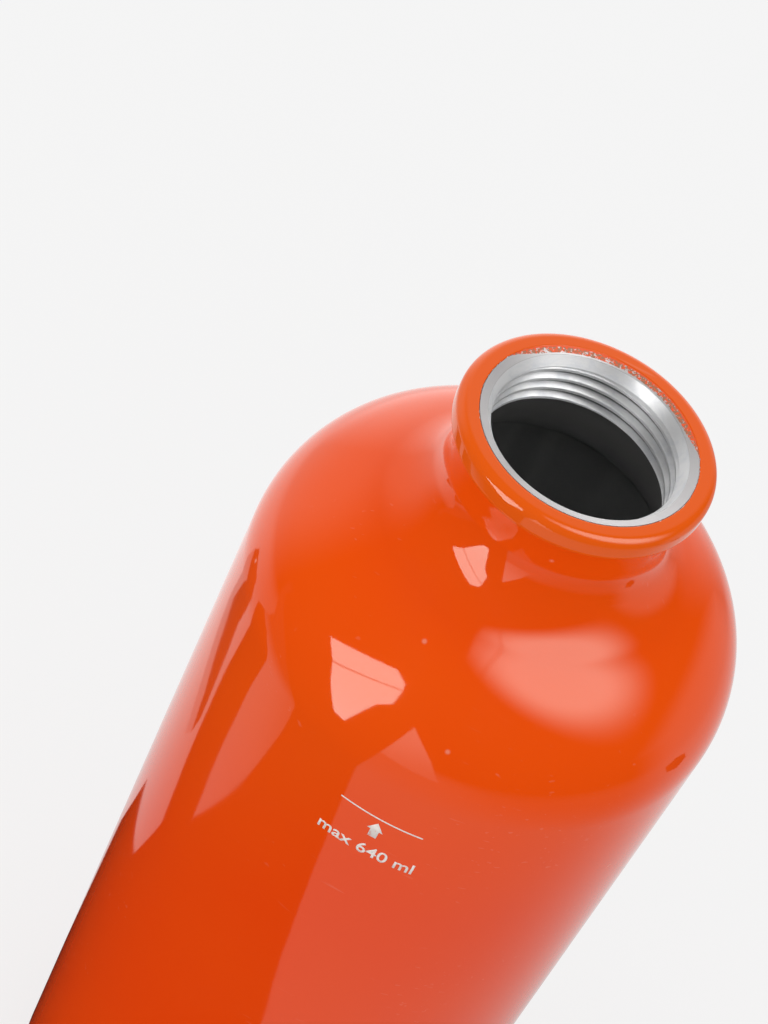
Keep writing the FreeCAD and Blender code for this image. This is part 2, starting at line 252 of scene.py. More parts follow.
def lathe_tree():
    tree, size, result = new_tree("turn_outline", "GeometryNodeTree", [
        ("Outline", "Geometry"), ("Segments", "Int"), ("Axis", "Float"), ("Lined From", "Int"),
        ("Finish", "Material"), ("Lining", "Material"),
    ], [("Geometry", "Geometry")])
    count = add(tree, "GeometryNodeAttributeDomainSize", {0: size["Outline"]}).outputs["Point Count"]
    columns = calc(tree, "ADD", size["Segments"], 1)
    grid = add(tree, "GeometryNodeMeshGrid", {"Vertices X": columns, "Vertices Y": count}).outputs[0]
    across, along = grid_shares(tree)
    row = calc(tree, "MULTIPLY", along, calc(tree, "SUBTRACT", count, 1))
    lined = calc(tree, "GREATER_THAN", row, size["Lined From"])
    stored = {"Geometry": grid, "Name": "lined", "Value": lined}
    grid = add(tree, "GeometryNodeStoreNamedAttribute", stored, data_type="BOOLEAN", domain="FACE")
    place = add(tree, "GeometryNodeInputPosition").outputs[0]
    sampled = {"Geometry": size["Outline"], "Value": place, "Index": calc(tree, "ROUND", row)}
    point = add(tree, "GeometryNodeSampleIndex", sampled, data_type="FLOAT_VECTOR").outputs[0]
    parts = split(tree, point)
    turn = calc(tree, "MULTIPLY", across, math.tau)
    shape = bent_round(tree, grid.outputs[0], turn, parts[0], parts[2], size["Axis"])
    finish_tree(tree, result, shape, size["Finish"], size["Lining"])
    return tree


turn_outline = lathe_tree()
print("turn_outline:", len(turn_outline.nodes), "nodes")

# %% [markdown]
# A tree works on an object through a modifier. The helper below starts from a mesh, runs one tree or
# more on it, and keeps the result as a plain mesh, so that nothing is left to evaluate later. Normals
# are turned outwards and only real corners stay sharp.

# %% Running a tree
SHARP = math.radians(35)


def as_mesh(holder):
    """What an object becomes with its modifiers, as a plain mesh."""
    evaluated = holder.evaluated_get(bpy.context.evaluated_depsgraph_get())
    return bpy.data.meshes.new_from_object(evaluated)


def run_trees(name, start, steps):
    """An object made by running trees on a start mesh. Steps are (tree, values by socket name)."""
    piece = bpy.data.objects.new(name, start)
    bpy.context.scene.collection.objects.link(piece)
    for tree, values in steps:
        modifier = piece.modifiers.new(tree.name, "NODES")
        modifier.node_group = tree
        for socket in tree.interface.items_tree:
            if socket.in_out == "INPUT" and socket.name in values:
                modifier[socket.identifier] = values[socket.name]
    piece.data = as_mesh(piece)
    piece.modifiers.clear()
    piece.data.name = name
    return piece


def face_outwards(piece):
    """Turns the faces of a closed mesh outwards and marks its corners sharp."""
    work = bmesh.new()
    work.from_mesh(piece.data)
    bmesh.ops.recalc_face_normals(work, faces=work.faces)
    work.to_mesh(piece.data)
    work.free()
    piece.data.set_sharp_from_angle(angle=SHARP)
    open_edges = sum(1 for edge in piece_edges(piece) if len(edge) != 2)
    print(f"{piece.name}: {len(piece.data.polygons)} faces, {open_edges} open edges")


def piece_edges(piece):
    """For each edge of a mesh, the faces that meet at it."""
    faces = {edge.key: [] for edge in piece.data.edges}
    for face in piece.data.polygons:
        for key in face.edge_keys:
            faces[key].append(face.index)
    return faces.values()


def outline_mesh(name, points):
    """A row of points in the XZ plane, from (radius, height) pairs."""
    mesh = bpy.data.meshes.new(name + "_outline")
    links = [(index, index + 1) for index in range(len(points) - 1)]
    mesh.from_pydata([(radius, 0, height) for radius, height in points], links, [])
    return mesh


def turned(name, points, finish, axis=0.0, segments=256, lining=None, lined_from=None, more=()):
    """A closed piece turned from an outline that starts and ends on the axis. More trees may follow."""
    values = {"Segments": segments, "Axis": axis, "Finish": finish, "Lining": lining or finish}
    values["Lined From"] = len(points) if lined_from is None else lined_from
    piece = run_trees(name, outline_mesh(name, points), [(turn_outline, values), *more])
    face_outwards(piece)
    return piece


# %% [markdown]
# ## Effects that several finishes share
#
# Three things turn up on more than one material. Handling leaves faint smudges, dust and hairline
# scratches. A lathe leaves fine rings on bare metal. A steel mould leaves a fine grain on plastic and
# rubber. Each is a shader group that gives out masks or heights only, and each material places it
# with its own values. They read Object coordinates, so they stay put when the piece moves.

# %% Shared effects
SCRATCH_TURN = (0.6, 0.3, 0.9)
SCRATCH_STRETCH = (90, 1500, 1500)
LINE_DRIFT = 0.06 * MM
PATCH_RISE = 120.0


def noise(tree, place, scale, detail=2.0, roughness=0.5, distortion=0.0):
    inputs = {"Vector": place, "Scale": scale, "Detail": detail, "Roughness": roughness}
    inputs["Distortion"] = distortion
    return add(tree, "ShaderNodeTexNoise", inputs).outputs[0]


def ramp(tree, term, start, end, low=0.0, high=1.0, kind="SMOOTHSTEP"):
    """Maps a span of values to another span and holds it there."""
    inputs = {0: term, 1: start, 2: end, 3: low, 4: high}
    return add(tree, "ShaderNodeMapRange", inputs, interpolation_type=kind).outputs[0]


def blend(tree, share, first, second):
    """A value between two others."""
    return add(tree, "ShaderNodeMix", {0: share, 2: first, 3: second}, data_type="FLOAT").outputs[0]


def object_place(tree):
    return add(tree, "ShaderNodeTexCoord").outputs["Object"]


def handling_group():
    tree, size, result = new_tree("handling", "ShaderNodeTree", [
        ("Smudge Scale", "Float"), ("Speck Scale", "Float"), ("Speck Share", "Float"),
    ], [("Smudge", "Float"), ("Speck", "Float"), ("Scratch", "Float")])
    place = object_place(tree)
    feed(tree, result["Smudge"], noise(tree, place, size["Smudge Scale"], 4.0, 0.6, 0.4))
    cells = {"Vector": place, "Scale": size["Speck Scale"]}
    dots = add(tree, "ShaderNodeTexVoronoi", cells, feature="F1").outputs
    chance = split(tree, dots["Color"])[0]
    chosen = calc(tree, "LESS_THAN", chance, size["Speck Share"])
    feed(tree, result["Speck"], calc(tree, "MULTIPLY", chosen, ramp(tree, dots["Distance"], 0.16, 0.05)))
    drawn_out = {0: place, "Rotation": SCRATCH_TURN, "Scale": SCRATCH_STRETCH}
    lines = noise(tree, add(tree, "ShaderNodeMapping", drawn_out).outputs[0], 1.0, 1.0, 0.4, 0.6)
    patches = ramp(tree, noise(tree, place, 45.0, 1.0), 0.52, 0.66)
    feed(tree, result["Scratch"], calc(tree, "MULTIPLY", ramp(tree, lines, 0.70, 0.76), patches))
    return tree


def turned_lines_group():
    tree, size, result = new_tree("turned_lines", "ShaderNodeTree", [
        ("Axis", "Float"), ("Line Scale", "Float"),
    ], [("Line", "Float"), ("Patch", "Float"), ("Radius", "Float")])
    parts = split(tree, object_place(tree))
    across = calc(tree, "SUBTRACT", parts[0], size["Axis"])
    radius = off_axis(tree, across, parts[1])
    turn = calc(tree, "ARCTAN2", parts[1], across)
    rings = combined(tree, radius, calc(tree, "MULTIPLY", turn, LINE_DRIFT), parts[2])
    feed(tree, result["Line"], noise(tree, rings, size["Line Scale"], 3.0, 0.6))
    rise = calc(tree, "MULTIPLY", parts[2], PATCH_RISE)
    sweep = combined(tree, calc(tree, "COSINE", turn), calc(tree, "SINE", turn), rise)
    feed(tree, result["Patch"], noise(tree, sweep, 3.2, 4.0, 0.65, 0.5))
    feed(tree, result["Radius"], radius)
    return tree


def moulded_grain_group():
    tree, size, result = new_tree("moulded_grain", "ShaderNodeTree", [
        ("Grain Scale", "Float"),
    ], [("Height", "Float"), ("Shade", "Float")])
    place = object_place(tree)
    feed(tree, result["Height"], noise(tree, place, size["Grain Scale"], 3.0, 0.6))
    feed(tree, result["Shade"], noise(tree, place, 90.0, 3.0, 0.55))
    return tree


handling = handling_group()
turned_lines = turned_lines_group()
moulded_grain = moulded_grain_group()
print("shared effects:", handling.name, turned_lines.name, moulded_grain.name)

# %% [markdown]
# The helpers below start a material from its Principled shader. What is the same all over the surface
# is written straight on the shader's sockets, and only what changes over it is linked.

# %% Material helpers
def new_finish(name, **plain):
    """A material, its tree and its shader, with plain values set on the shader's sockets."""
    material = bpy.data.materials.new(name)
    material.use_nodes = True
    tree = material.node_tree
    shader = tree.nodes["Principled BSDF"]
    for socket, value in plain.items():
        shader.inputs[socket.replace("_", " ")].default_value = value
    return material, tree, shader


def effect(tree, group, **values):
    """Places a shared effect with its own values, and gives its outputs."""
    node = add(tree, "ShaderNodeGroup", node_tree=group)
    for socket, value in values.items():
        node.inputs[socket.replace("_", " ")].default_value = value
    return node.outputs


def mixed(tree, share, first, second):
    """A blend of two colours."""
    inputs = {0: share, 6: first, 7: second}
    return add(tree, "ShaderNodeMix", inputs, data_type="RGBA").outputs[2]


def bumped(tree, height, distance, before=None):
    """A normal bent by a height, whose full range is the given distance."""
    inputs = {"Height": height, "Distance": distance, "Strength": 1.0}
    if before:
        inputs["Normal"] = before
    return add(tree, "ShaderNodeBump", inputs).outputs[0]


# %% [markdown]
# ## Orange lacquer
#
# The lacquer is a glossy stoving paint. Seen closely it is never quite flat: the drawn wall under it
# waves a little over centimetres, and the paint itself has a fine peel over millimetres, so mirrored
# edges wobble. Its gloss takes a little red out of what it mirrors. The film is thinnest on the bead.
# The orange also carries painted light and shade: it is painted lighter high on the shoulder and on the
# left, where more light falls, and painted deeper below, where less falls. Dust specks and hairline
# scratches break the gloss here and there. In front of the mouth it is turned away with the ring, which
# leaves a slightly ragged border where bare metal shows through. That border is the radius compared
# with a threshold that noise moves in and out.

# %% Orange lacquer
ORANGE = (0.80, 0.078, 0.003, 1)
ORANGE_SHADED = (0.77, 0.056, 0.0025, 1)
ORANGE_RIM = (0.745, 0.098, 0.006, 1)
DUST = (0.86, 0.52, 0.40, 1)
BARE_METAL = (0.96, 0.96, 0.96, 1)
GLOSS_TINT = (0.80, 1.0, 0.90, 1)
# Painted light and shade: the heights between which the orange turns from its lit tone to a painted deeper
# one.
LIT_LEVEL = SHOULDER_LEVEL + 25 * MM
SHADED_LEVEL = SHOULDER_LEVEL - 30 * MM
SHADE_MOST = 0.85
LEFT_LIGHT_LIFT = 1.2
CLOUD_SHARE = 0.25
BEAD_BORDER = (BEAD_LEVEL - 2 * MM, BEAD_LEVEL + 1 * MM)
RIM_BORDER = (RIM_LEVEL - 0.5 * MM, RIM_LEVEL - 0.2 * MM)
SCRATCH_SHARE = 0.35
DUST_SHARE = 0.22
FILM_ROUGH = 0.05
SMUDGE_ROUGH = 0.05
BLEMISH_ROUGH = 0.25
BARE_ROUGH = 0.3
CHIP_WIDTH = 0.15 * MM
CHIP_DEPTH = 0.05 * MM
CHIP_BACK = (10.0 * MM, 5.0 * MM)
WAVE_HEIGHT = 0.04 * MM
PEEL_HEIGHT = 0.0012 * MM


def film_colour(tree, place):
    """The film's colour: painted shade low down, painted light on the left, thin on the bead, a little
    cloudy.
    """
    parts = split(tree, place)
    clouds = ramp(tree, noise(tree, place, 26.0, 2.0), 0.35, 0.75)
    # Painted light: the left side counts as higher, so it takes the lighter orange; low down the orange is
    # painted deeper.
    leftward = calc(tree, "MAXIMUM", calc(tree, "MULTIPLY", parts[0], -1.0), 0.0)
    level = calc(tree, "MULTIPLY_ADD", leftward, LEFT_LIGHT_LIFT, parts[2])
    shade_and_clouds = ramp(tree, level, LIT_LEVEL, SHADED_LEVEL, 0.0, SHADE_MOST)
    shade_and_clouds = calc(tree, "ADD", shade_and_clouds, calc(tree, "MULTIPLY", clouds, CLOUD_SHARE))
    colour = mixed(tree, shade_and_clouds, ORANGE, ORANGE_SHADED)
    return mixed(tree, ramp(tree, parts[2], *BEAD_BORDER), colour, ORANGE_RIM)


def bare_edge(tree, place):
    """Where the tool has cut through the lacquer, along the front of the mouth."""
    parts = split(tree, place)
    on_rim = ramp(tree, parts[2], *RIM_BORDER)
    in_front = ramp(tree, parts[1], *CHIP_BACK)
    ragged = ramp(tree, noise(tree, place, 900.0, 4.0, 0.7, 0.8), 0.35, 0.75)
    reach = calc(tree, "MULTIPLY_ADD", ragged, CHIP_WIDTH, LIP_INSIDE)
    within = calc(tree, "LESS_THAN", off_axis(tree, parts[0], parts[1]), reach)
    return calc(tree, "MULTIPLY", calc(tree, "MULTIPLY", on_rim, in_front), within)


def orange_lacquer():
    material, tree, shader = new_finish("orange_lacquer", IOR=1.53, Specular_Tint=GLOSS_TINT)
    place = object_place(tree)
    worn = effect(tree, handling, Smudge_Scale=38.0, Speck_Scale=300.0, Speck_Share=0.03)
    scratch = calc(tree, "MULTIPLY", worn["Scratch"], SCRATCH_SHARE)
    blemish = calc(tree, "MAXIMUM", worn["Speck"], scratch)
    dusty = calc(tree, "MULTIPLY", blemish, DUST_SHARE)
    colour = mixed(tree, dusty, film_colour(tree, place), DUST)
    bare = bare_edge(tree, place)
    feed(tree, shader.inputs["Base Color"], mixed(tree, bare, colour, BARE_METAL))
    feed(tree, shader.inputs["Metallic"], bare)
    rough = calc(tree, "MULTIPLY_ADD", ramp(tree, worn["Smudge"], 0.45, 0.8), SMUDGE_ROUGH, FILM_ROUGH)
    rough = calc(tree, "MULTIPLY_ADD", blemish, BLEMISH_ROUGH, rough)
    rough = calc(tree, "MAXIMUM", rough, calc(tree, "MULTIPLY", bare, BARE_ROUGH))
    feed(tree, shader.inputs["Roughness"], rough)
    wave = bumped(tree, noise(tree, place, 55.0, 1.0), WAVE_HEIGHT)
    peel = bumped(tree, noise(tree, place, 700.0, 1.0), PEEL_HEIGHT, wave)
    feed(tree, shader.inputs["Normal"], bumped(tree, bare, -CHIP_DEPTH, peel))
    return material


lacquer = orange_lacquer()
print("finish:", lacquer.name)

# %% [markdown]
# ## Dull inside
#
# Inside, the metal is left as it came from the press: a dull grey, streaked along the draw. Little light
# comes in through the mouth, so it looks almost black, but a grey that is too dark would lose the soft
# glow that the walls pass to each other. Up in the neck the grey is painted dark, as painted shade.

# %% Dull inside
LINING = (0.47, 0.47, 0.47, 1)
LINING_THIN = (0.58, 0.58, 0.57, 1)
NECK_SHADE = (0.105, 0.103, 0.100, 1)
NECK_SHADE_LEVELS = (SHOULDER_LEVEL + 15 * MM, SHOULDER_LEVEL + 30 * MM)


def dull_inside():
    material, tree, shader = new_finish("dull_inside", IOR=1.5)
    place = object_place(tree)
    runs = add(tree, "ShaderNodeMapping", {0: place, "Scale": (60, 60, 14)}).outputs[0]
    streak = ramp(tree, noise(tree, runs, 1.0, 3.0, 0.6, 0.8), 0.4, 0.7)
    height = split(tree, place)[2]
    # Painted shade: up in the neck the grey is painted dark, fading to the plain grey further down.
    neck_shaded = ramp(tree, height, *NECK_SHADE_LEVELS)
    colour = mixed(tree, streak, LINING, LINING_THIN)
    feed(tree, shader.inputs["Base Color"], mixed(tree, neck_shaded, colour, NECK_SHADE))
    feed(tree, shader.inputs["Roughness"], calc(tree, "MULTIPLY_ADD", streak, 0.15, 0.40))
    feed(tree, shader.inputs["Normal"], bumped(tree, streak, 0.03 * MM))
    return material


lining = dull_inside()
print("finish:", lining.name)

# %% [markdown]
# ## The shell
#
# One outline gives the whole vessel, outside and inside. It starts at the middle of the foot, runs up
# the outside, over the bead, and back down the inside. Round stretches are arcs, and each straight run
# has a point close to either end, so that the smooth shading of the arcs does not leak into it.

# %% Shell
def arc(axis, level, radius, start, end, degrees=2.5):
    """Points of an arc in an outline, from one angle to another."""
    count = max(2, math.ceil(abs(end - start) / degrees))
    turns = [math.radians(start + (end - start) * step / count) for step in range(count + 1)]
    return [(axis + radius * math.cos(turn), level + radius * math.sin(turn)) for turn in turns]


def straight(start, end, margin=0.4 * MM):
    """Two points near the ends of a straight run."""
    first, last = Vector(start), Vector(end)
    way = (last - first).normalized() * margin
    return [tuple(first + way), tuple(last - way)]


def dome_arc(extra):
    """The domed foot, from the axis outwards, raised by the thickness of the wall inside."""
    radius = DOME_RADIUS + extra
    foot = math.sqrt(DOME_FOOT ** 2 + 2 * BASE_DOME * extra)
    return arc(0, BASE_DOME - DOME_RADIUS, radius, 90, math.degrees(math.acos(foot / radius)))


def body_outline(offset):
    """The wall from the foot's corner up to the neck, drawn in by the wall's thickness inside."""
    wall = BODY_RADIUS - offset
    return [
        *arc(CORNER_AXIS, BASE_CORNER, BASE_CORNER - offset, -90, 0),
        *straight((wall, BASE_CORNER), (wall, SHOULDER_LEVEL)),
        *arc(SHOULDER_AXIS, SHOULDER_LEVEL, SHOULDER_RADIUS - offset, 0, TANGENT),
        *arc(BLEND_AXIS, BLEND_LEVEL, NECK_BLEND + offset, 180 + TANGENT, 180)[1:],
    ]


def bead_outline():
    """The neck that widens from its waist, the rolled bead on it, and the edge where the paint stops."""
    round_axis = BEAD_RADIUS - BEAD_ROUND
    edge_axis = LIP_INSIDE + PAINT_EDGE
    flare = math.degrees(math.asin(NECK_HEIGHT / NECK_FLARE))
    return [
        *arc(NECK_RADIUS + NECK_FLARE, BLEND_LEVEL, NECK_FLARE, 180, 180 - flare, 1.5)[1:],
        *arc(round_axis, BEAD_LEVEL + BEAD_ROUND, BEAD_ROUND, -90, 0, 6),
        *arc(round_axis, RIM_LEVEL - BEAD_ROUND, BEAD_ROUND, 0, 90, 6),
        *straight((round_axis, RIM_LEVEL), (edge_axis, RIM_LEVEL), 0.2 * MM),
        *arc(edge_axis, RIM_LEVEL - PAINT_EDGE, PAINT_EDGE, 90, 180, 22),
    ]


outside = dome_arc(0) + body_outline(0) + bead_outline()
inside = straight((LIP_INSIDE, RIM_LEVEL), (LIP_INSIDE, LIP_LEVEL))
inside += [(LIP_INSIDE, LIP_LEVEL), (NECK_INSIDE, LIP_LEVEL)]
inside += straight((NECK_INSIDE, LIP_LEVEL), (NECK_INSIDE, BLEND_LEVEL))
inside += body_outline(WALL)[::-1] + dome_arc(WALL)[::-1]
shell = turned("shell_skin", outside + inside, lacquer, lining=lining, lined_from=len(outside))
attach(shell, "bottle")
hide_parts("bottle_shell")

# %% [markdown]
# ## Bare metal of the ring
#
# The ring is machined from aluminium and left bare. Fine rings from the tool catch the light along the
# turn, and handling has left dull patches, so both drive the roughness and the first also the bump. The
# rings also spread mirrored light across themselves, so the shader is anisotropic round the axis. At
# the back the tool has torn the lacquer's edge and left it on the ring's seat as ragged brown burrs. The
# seat is dull from the seal, and the roots of the thread are painted dark, as painted shade.

# %% Ring metal
THREAD_BORE = 13.92 * MM
THREAD_DEPTH = 1.05 * MM
LEAD_LENGTH = 1.9 * MM
METAL_DULL = (0.85, 0.86, 0.88, 1)
SEAT_METAL = (0.68, 0.66, 0.66, 1)
ROOT_SHADE = (0.06, 0.06, 0.065, 1)
BURR = (0.34, 0.15, 0.08, 1)
BURR_WIDTH = 1.1 * MM
BURR_BACK = (5.5 * MM, 10.5 * MM)
LIP_EDGE = LIP_RADIUS + 0.05 * MM
OVERLAP = 0.22 * MM
SEAT_DEPTH = 0.42 * MM
ROOT_SHARES = (0.66, 0.94)
SHINE = 0.65
TURNED_ROUGH = 0.40
DULL_ROUGH = 0.12
LINE_ROUGH = 0.10
TOOL_LINES = 0.012 * MM


def burrs(tree, place, radius):
    """Where torn lacquer lies over the ring at the back, and where it is still orange."""
    at_back = ramp(tree, split(tree, place)[1], *BURR_BACK)
    torn = ramp(tree, noise(tree, place, 1500.0, 4.0, 0.7, 0.8), 0.15, 0.50)
    torn = calc(tree, "MULTIPLY", at_back, torn)
    reach = calc(tree, "MULTIPLY_ADD", torn, -BURR_WIDTH, LIP_EDGE)
    overlap = calc(tree, "MULTIPLY_ADD", at_back, -OVERLAP, LIP_EDGE)
    overlapped = calc(tree, "GREATER_THAN", radius, overlap)
    scraps = ramp(tree, noise(tree, place, 2000.0, 2.0, 0.6), 0.34, 0.46)
    flecks = ramp(tree, noise(tree, place, 2400.0, 2.0, 0.6), 0.42, 0.60)
    left_on, orange = [calc(tree, "MAXIMUM", overlapped, mask) for mask in (scraps, flecks)]
    burr = calc(tree, "MULTIPLY", calc(tree, "GREATER_THAN", radius, reach), left_on)
    return burr, orange


def ring_metal():
    material, tree, shader = new_finish("ring_metal", Anisotropic=0.75, Anisotropic_Rotation=0.25)
    lathe = effect(tree, turned_lines, Axis=0.0, Line_Scale=5200.0)
    place = object_place(tree)
    parts = split(tree, place)
    dull = ramp(tree, lathe["Patch"], 0.42, 0.68)
    on_seat = calc(tree, "GREATER_THAN", parts[2], RIM_LEVEL - SEAT_DEPTH)
    metal = mixed(tree, on_seat, mixed(tree, dull, BARE_METAL, METAL_DULL), SEAT_METAL)
    # Painted shade: the roots of the thread are darkened, where shade falls between the turns.
    roots = [THREAD_BORE + share * THREAD_DEPTH for share in ROOT_SHARES]
    threaded = calc(tree, "LESS_THAN", parts[2], RIM_LEVEL - LEAD_LENGTH)
    root_shaded = calc(tree, "MULTIPLY", ramp(tree, lathe["Radius"], *roots), threaded)
    metal = mixed(tree, root_shaded, metal, ROOT_SHADE)
    burr, orange = burrs(tree, place, lathe["Radius"])
    burr = calc(tree, "MULTIPLY", on_seat, burr)
    colour = mixed(tree, burr, metal, mixed(tree, orange, BURR, ORANGE))
    feed(tree, shader.inputs["Base Color"], colour)
    feed(tree, shader.inputs["Metallic"], calc(tree, "MULTIPLY_ADD", burr, -SHINE, SHINE))
    rough = calc(tree, "MULTIPLY_ADD", dull, DULL_ROUGH, TURNED_ROUGH)
    rough = calc(tree, "MULTIPLY_ADD", lathe["Line"], LINE_ROUGH, rough)
    feed(tree, shader.inputs["Roughness"], rough)
    feed(tree, shader.inputs["Normal"], bumped(tree, lathe["Line"], TOOL_LINES))
    round_axis = combined(tree, calc(tree, "MULTIPLY", parts[1], -1.0), parts[0])
    feed(tree, shader.inputs["Tangent"], round_axis)
    return material


bare_metal = ring_metal()
print("finish:", bare_metal.name)

# %% [markdown]
# ## Threads
#
# A screw thread is a rule: at each angle and height the wall stands at a certain radius. So one tree
# cuts the thread of the ring and of the plug. It bends a grid into a wall, works out where each point
# lies between one turn of the helix and the next, and pushes the wall outwards by a ridge with sloping
# flanks. A cone at one end cuts the thread back, and above its last turn the thread runs out. Four more
# rows carry the wall over its lip and round the back, so the piece is closed.

# %% Thread tree
NARROW_FLAT = 0.125
WIDE_FLAT = 0.25


def threaded_radius(tree, size, across, height):
    """The wall's radius at a share of the turn and a height: the thread, its run-out and the cone."""
    turns = calc(tree, "SUBTRACT", calc(tree, "DIVIDE", height, size["Pitch"]), across)
    phase = calc(tree, "FRACT", calc(tree, "ADD", turns, size["Start"]))
    from_peak = calc(tree, "MULTIPLY", calc(tree, "ABSOLUTE", calc(tree, "SUBTRACT", phase, 0.5)), 2.0)
    ridge = ramp(tree, from_peak, 1.0 - WIDE_FLAT, NARROW_FLAT, kind="LINEAR")
    left = calc(tree, "DIVIDE", calc(tree, "SUBTRACT", size["Last Turn"], height), size["Run Out"])
    fade = calc(tree, "MAXIMUM", calc(tree, "MINIMUM", left, 1.0), 0.0)
    pushed = calc(tree, "MULTIPLY", calc(tree, "MULTIPLY", ridge, fade), size["Depth"])
    threaded = calc(tree, "ADD", size["Base Radius"], pushed)
    from_cone = calc(tree, "ABSOLUTE", calc(tree, "SUBTRACT", height, size["Cone Level"]))
    cone = calc(tree, "MULTIPLY_ADD", from_cone, size["Cone Slope"], size["Cone Radius"])
    bored = calc(tree, "MAXIMUM", threaded, cone)
    shanked = calc(tree, "MINIMUM", threaded, cone)
    return blend(tree, size["Bore"], shanked, bored)


def thread_tree():
    tree, size, result = new_tree("cut_thread", "GeometryNodeTree", [
        ("Base Radius", "Float"), ("Depth", "Float"), ("Pitch", "Float"), ("Start", "Float"),
        ("Foot", "Float"), ("Top", "Float"), ("Last Turn", "Float"), ("Run Out", "Float"),
        ("Lip Radius", "Float"), ("Lip Level", "Float"), ("Back Radius", "Float"), ("Back Level", "Float"),
        ("Cone Radius", "Float"), ("Cone Slope", "Float"), ("Cone Level", "Float"), ("Bore", "Float"),
        ("Columns", "Int"), ("Rows", "Int"), ("Axis", "Float"), ("Finish", "Material"),
    ], [("Geometry", "Geometry")])
    columns = calc(tree, "ADD", size["Columns"], 1)
    rows = calc(tree, "ADD", size["Rows"], 5)
    grid = add(tree, "GeometryNodeMeshGrid", {"Vertices X": columns, "Vertices Y": rows}).outputs[0]
    across, along = grid_shares(tree)
    turn = calc(tree, "MULTIPLY", across, math.tau)
    row = calc(tree, "ROUND", calc(tree, "MULTIPLY", along, calc(tree, "ADD", size["Rows"], 4)))
    on_wall = calc(tree, "LESS_THAN", row, calc(tree, "ADD", size["Rows"], 0.5))
    share = calc(tree, "MULTIPLY", calc(tree, "DIVIDE", row, size["Rows"]), on_wall)
    length = calc(tree, "SUBTRACT", size["Top"], size["Foot"])
    height = calc(tree, "MULTIPLY_ADD", share, length, size["Foot"])
    lip, back_top, back_foot = [calc(tree, "COMPARE", row, calc(tree, "ADD", size["Rows"], extra), 0.1)
                                for extra in (1, 2, 3)]
    height = blend(tree, lip, height, size["Lip Level"])
    height = blend(tree, back_top, height, size["Back Level"])
    radius = threaded_radius(tree, size, across, height)
    radius = blend(tree, lip, radius, size["Lip Radius"])
    radius = blend(tree, calc(tree, "ADD", back_top, back_foot), radius, size["Back Radius"])
    shape = bent_round(tree, grid, turn, radius, height, size["Axis"])
    finish_tree(tree, result, shape, size["Finish"])
    return tree


cut_thread = thread_tree()
print("cut_thread:", len(cut_thread.nodes), "nodes")

# %% [markdown]
# The ring's thread is a metric one, two millimetres from turn to turn. Its lip lies in a step of the
# bead. The lip's top is the seat for the stopper's seal and slopes in a little, and a smooth cone leads
# from it to the first turn.

# %% Thread ring
THREAD_PITCH = 2.0 * MM
THREAD_START = 0.95
SEAT_DROP = 0.35 * MM
SEAT_INSIDE = 14.9 * MM
LEAD_SLOPE = -0.62
LEAD_RUN_OUT = 0.4 * MM

ring_values = {
    "Base Radius": THREAD_BORE, "Depth": THREAD_DEPTH, "Pitch": THREAD_PITCH, "Start": THREAD_START,
    "Foot": RING_FOOT, "Top": RIM_LEVEL - SEAT_DROP, "Last Turn": RIM_LEVEL - LEAD_LENGTH,
    "Run Out": LEAD_RUN_OUT, "Lip Radius": LIP_RADIUS, "Lip Level": RIM_LEVEL,
    "Back Radius": RING_RADIUS, "Back Level": LIP_LEVEL, "Cone Radius": SEAT_INSIDE,
    "Cone Slope": LEAD_SLOPE, "Cone Level": RIM_LEVEL - SEAT_DROP, "Bore": 1.0,
    "Columns": 288, "Rows": 132, "Axis": 0.0, "Finish": bare_metal,
}
ring = run_trees("ring_thread", bpy.data.meshes.new("ring_start"), [(cut_thread, ring_values)])
face_outwards(ring)
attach(ring, "bottle")
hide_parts("thread_ring")

# %% [markdown]
# ## Plastic, rubber and steel
#
# The stopper is moulded in black plastic with a rubber ring, a nylon washer and two small pieces of
# steel. Two recipes are enough. Moulded stuff has a fine grain from its mould, grows shiny where fingers
# polish it and collects dust. Drawn steel has fine lines along the way it was drawn.

# %% Stopper finishes
PALE_DUST = (0.35, 0.34, 0.33, 1)
STEEL = (0.62, 0.62, 0.63, 1)
STEEL_DULL = (0.42, 0.42, 0.43, 1)


def moulded(name, colour, shade, grain_scale, grain_depth, rough):
    """Plastic or rubber: two close colours, fine grain, and a polish where it is handled."""
    material, tree, shader = new_finish(name, IOR=1.5)
    grain = effect(tree, moulded_grain, Grain_Scale=grain_scale)
    worn = effect(tree, handling, Smudge_Scale=70.0, Speck_Scale=420.0, Speck_Share=0.05)
    tone = mixed(tree, ramp(tree, grain["Shade"], 0.35, 0.70), colour, shade)
    dusty = calc(tree, "MULTIPLY", calc(tree, "MAXIMUM", worn["Speck"], worn["Scratch"]), 0.3)
    feed(tree, shader.inputs["Base Color"], mixed(tree, dusty, tone, PALE_DUST))
    polish = calc(tree, "MULTIPLY", ramp(tree, worn["Smudge"], 0.40, 0.75), 0.14)
    feed(tree, shader.inputs["Roughness"], calc(tree, "SUBTRACT", rough, polish))
    feed(tree, shader.inputs["Normal"], bumped(tree, grain["Height"], grain_depth))
    return material


def drawn_steel(name, line_scale, rough):
    """Bare steel with fine lines round the stopper's axis."""
    material, tree, shader = new_finish(name, Metallic=1.0)
    drawn = effect(tree, turned_lines, Axis=STOPPER_X, Line_Scale=line_scale)
    tone = mixed(tree, ramp(tree, drawn["Patch"], 0.40, 0.70), STEEL, STEEL_DULL)
    feed(tree, shader.inputs["Base Color"], tone)
    feed(tree, shader.inputs["Roughness"], calc(tree, "MULTIPLY_ADD", drawn["Line"], 0.18, rough))
    feed(tree, shader.inputs["Normal"], bumped(tree, drawn["Line"], 0.006 * MM))
    return material


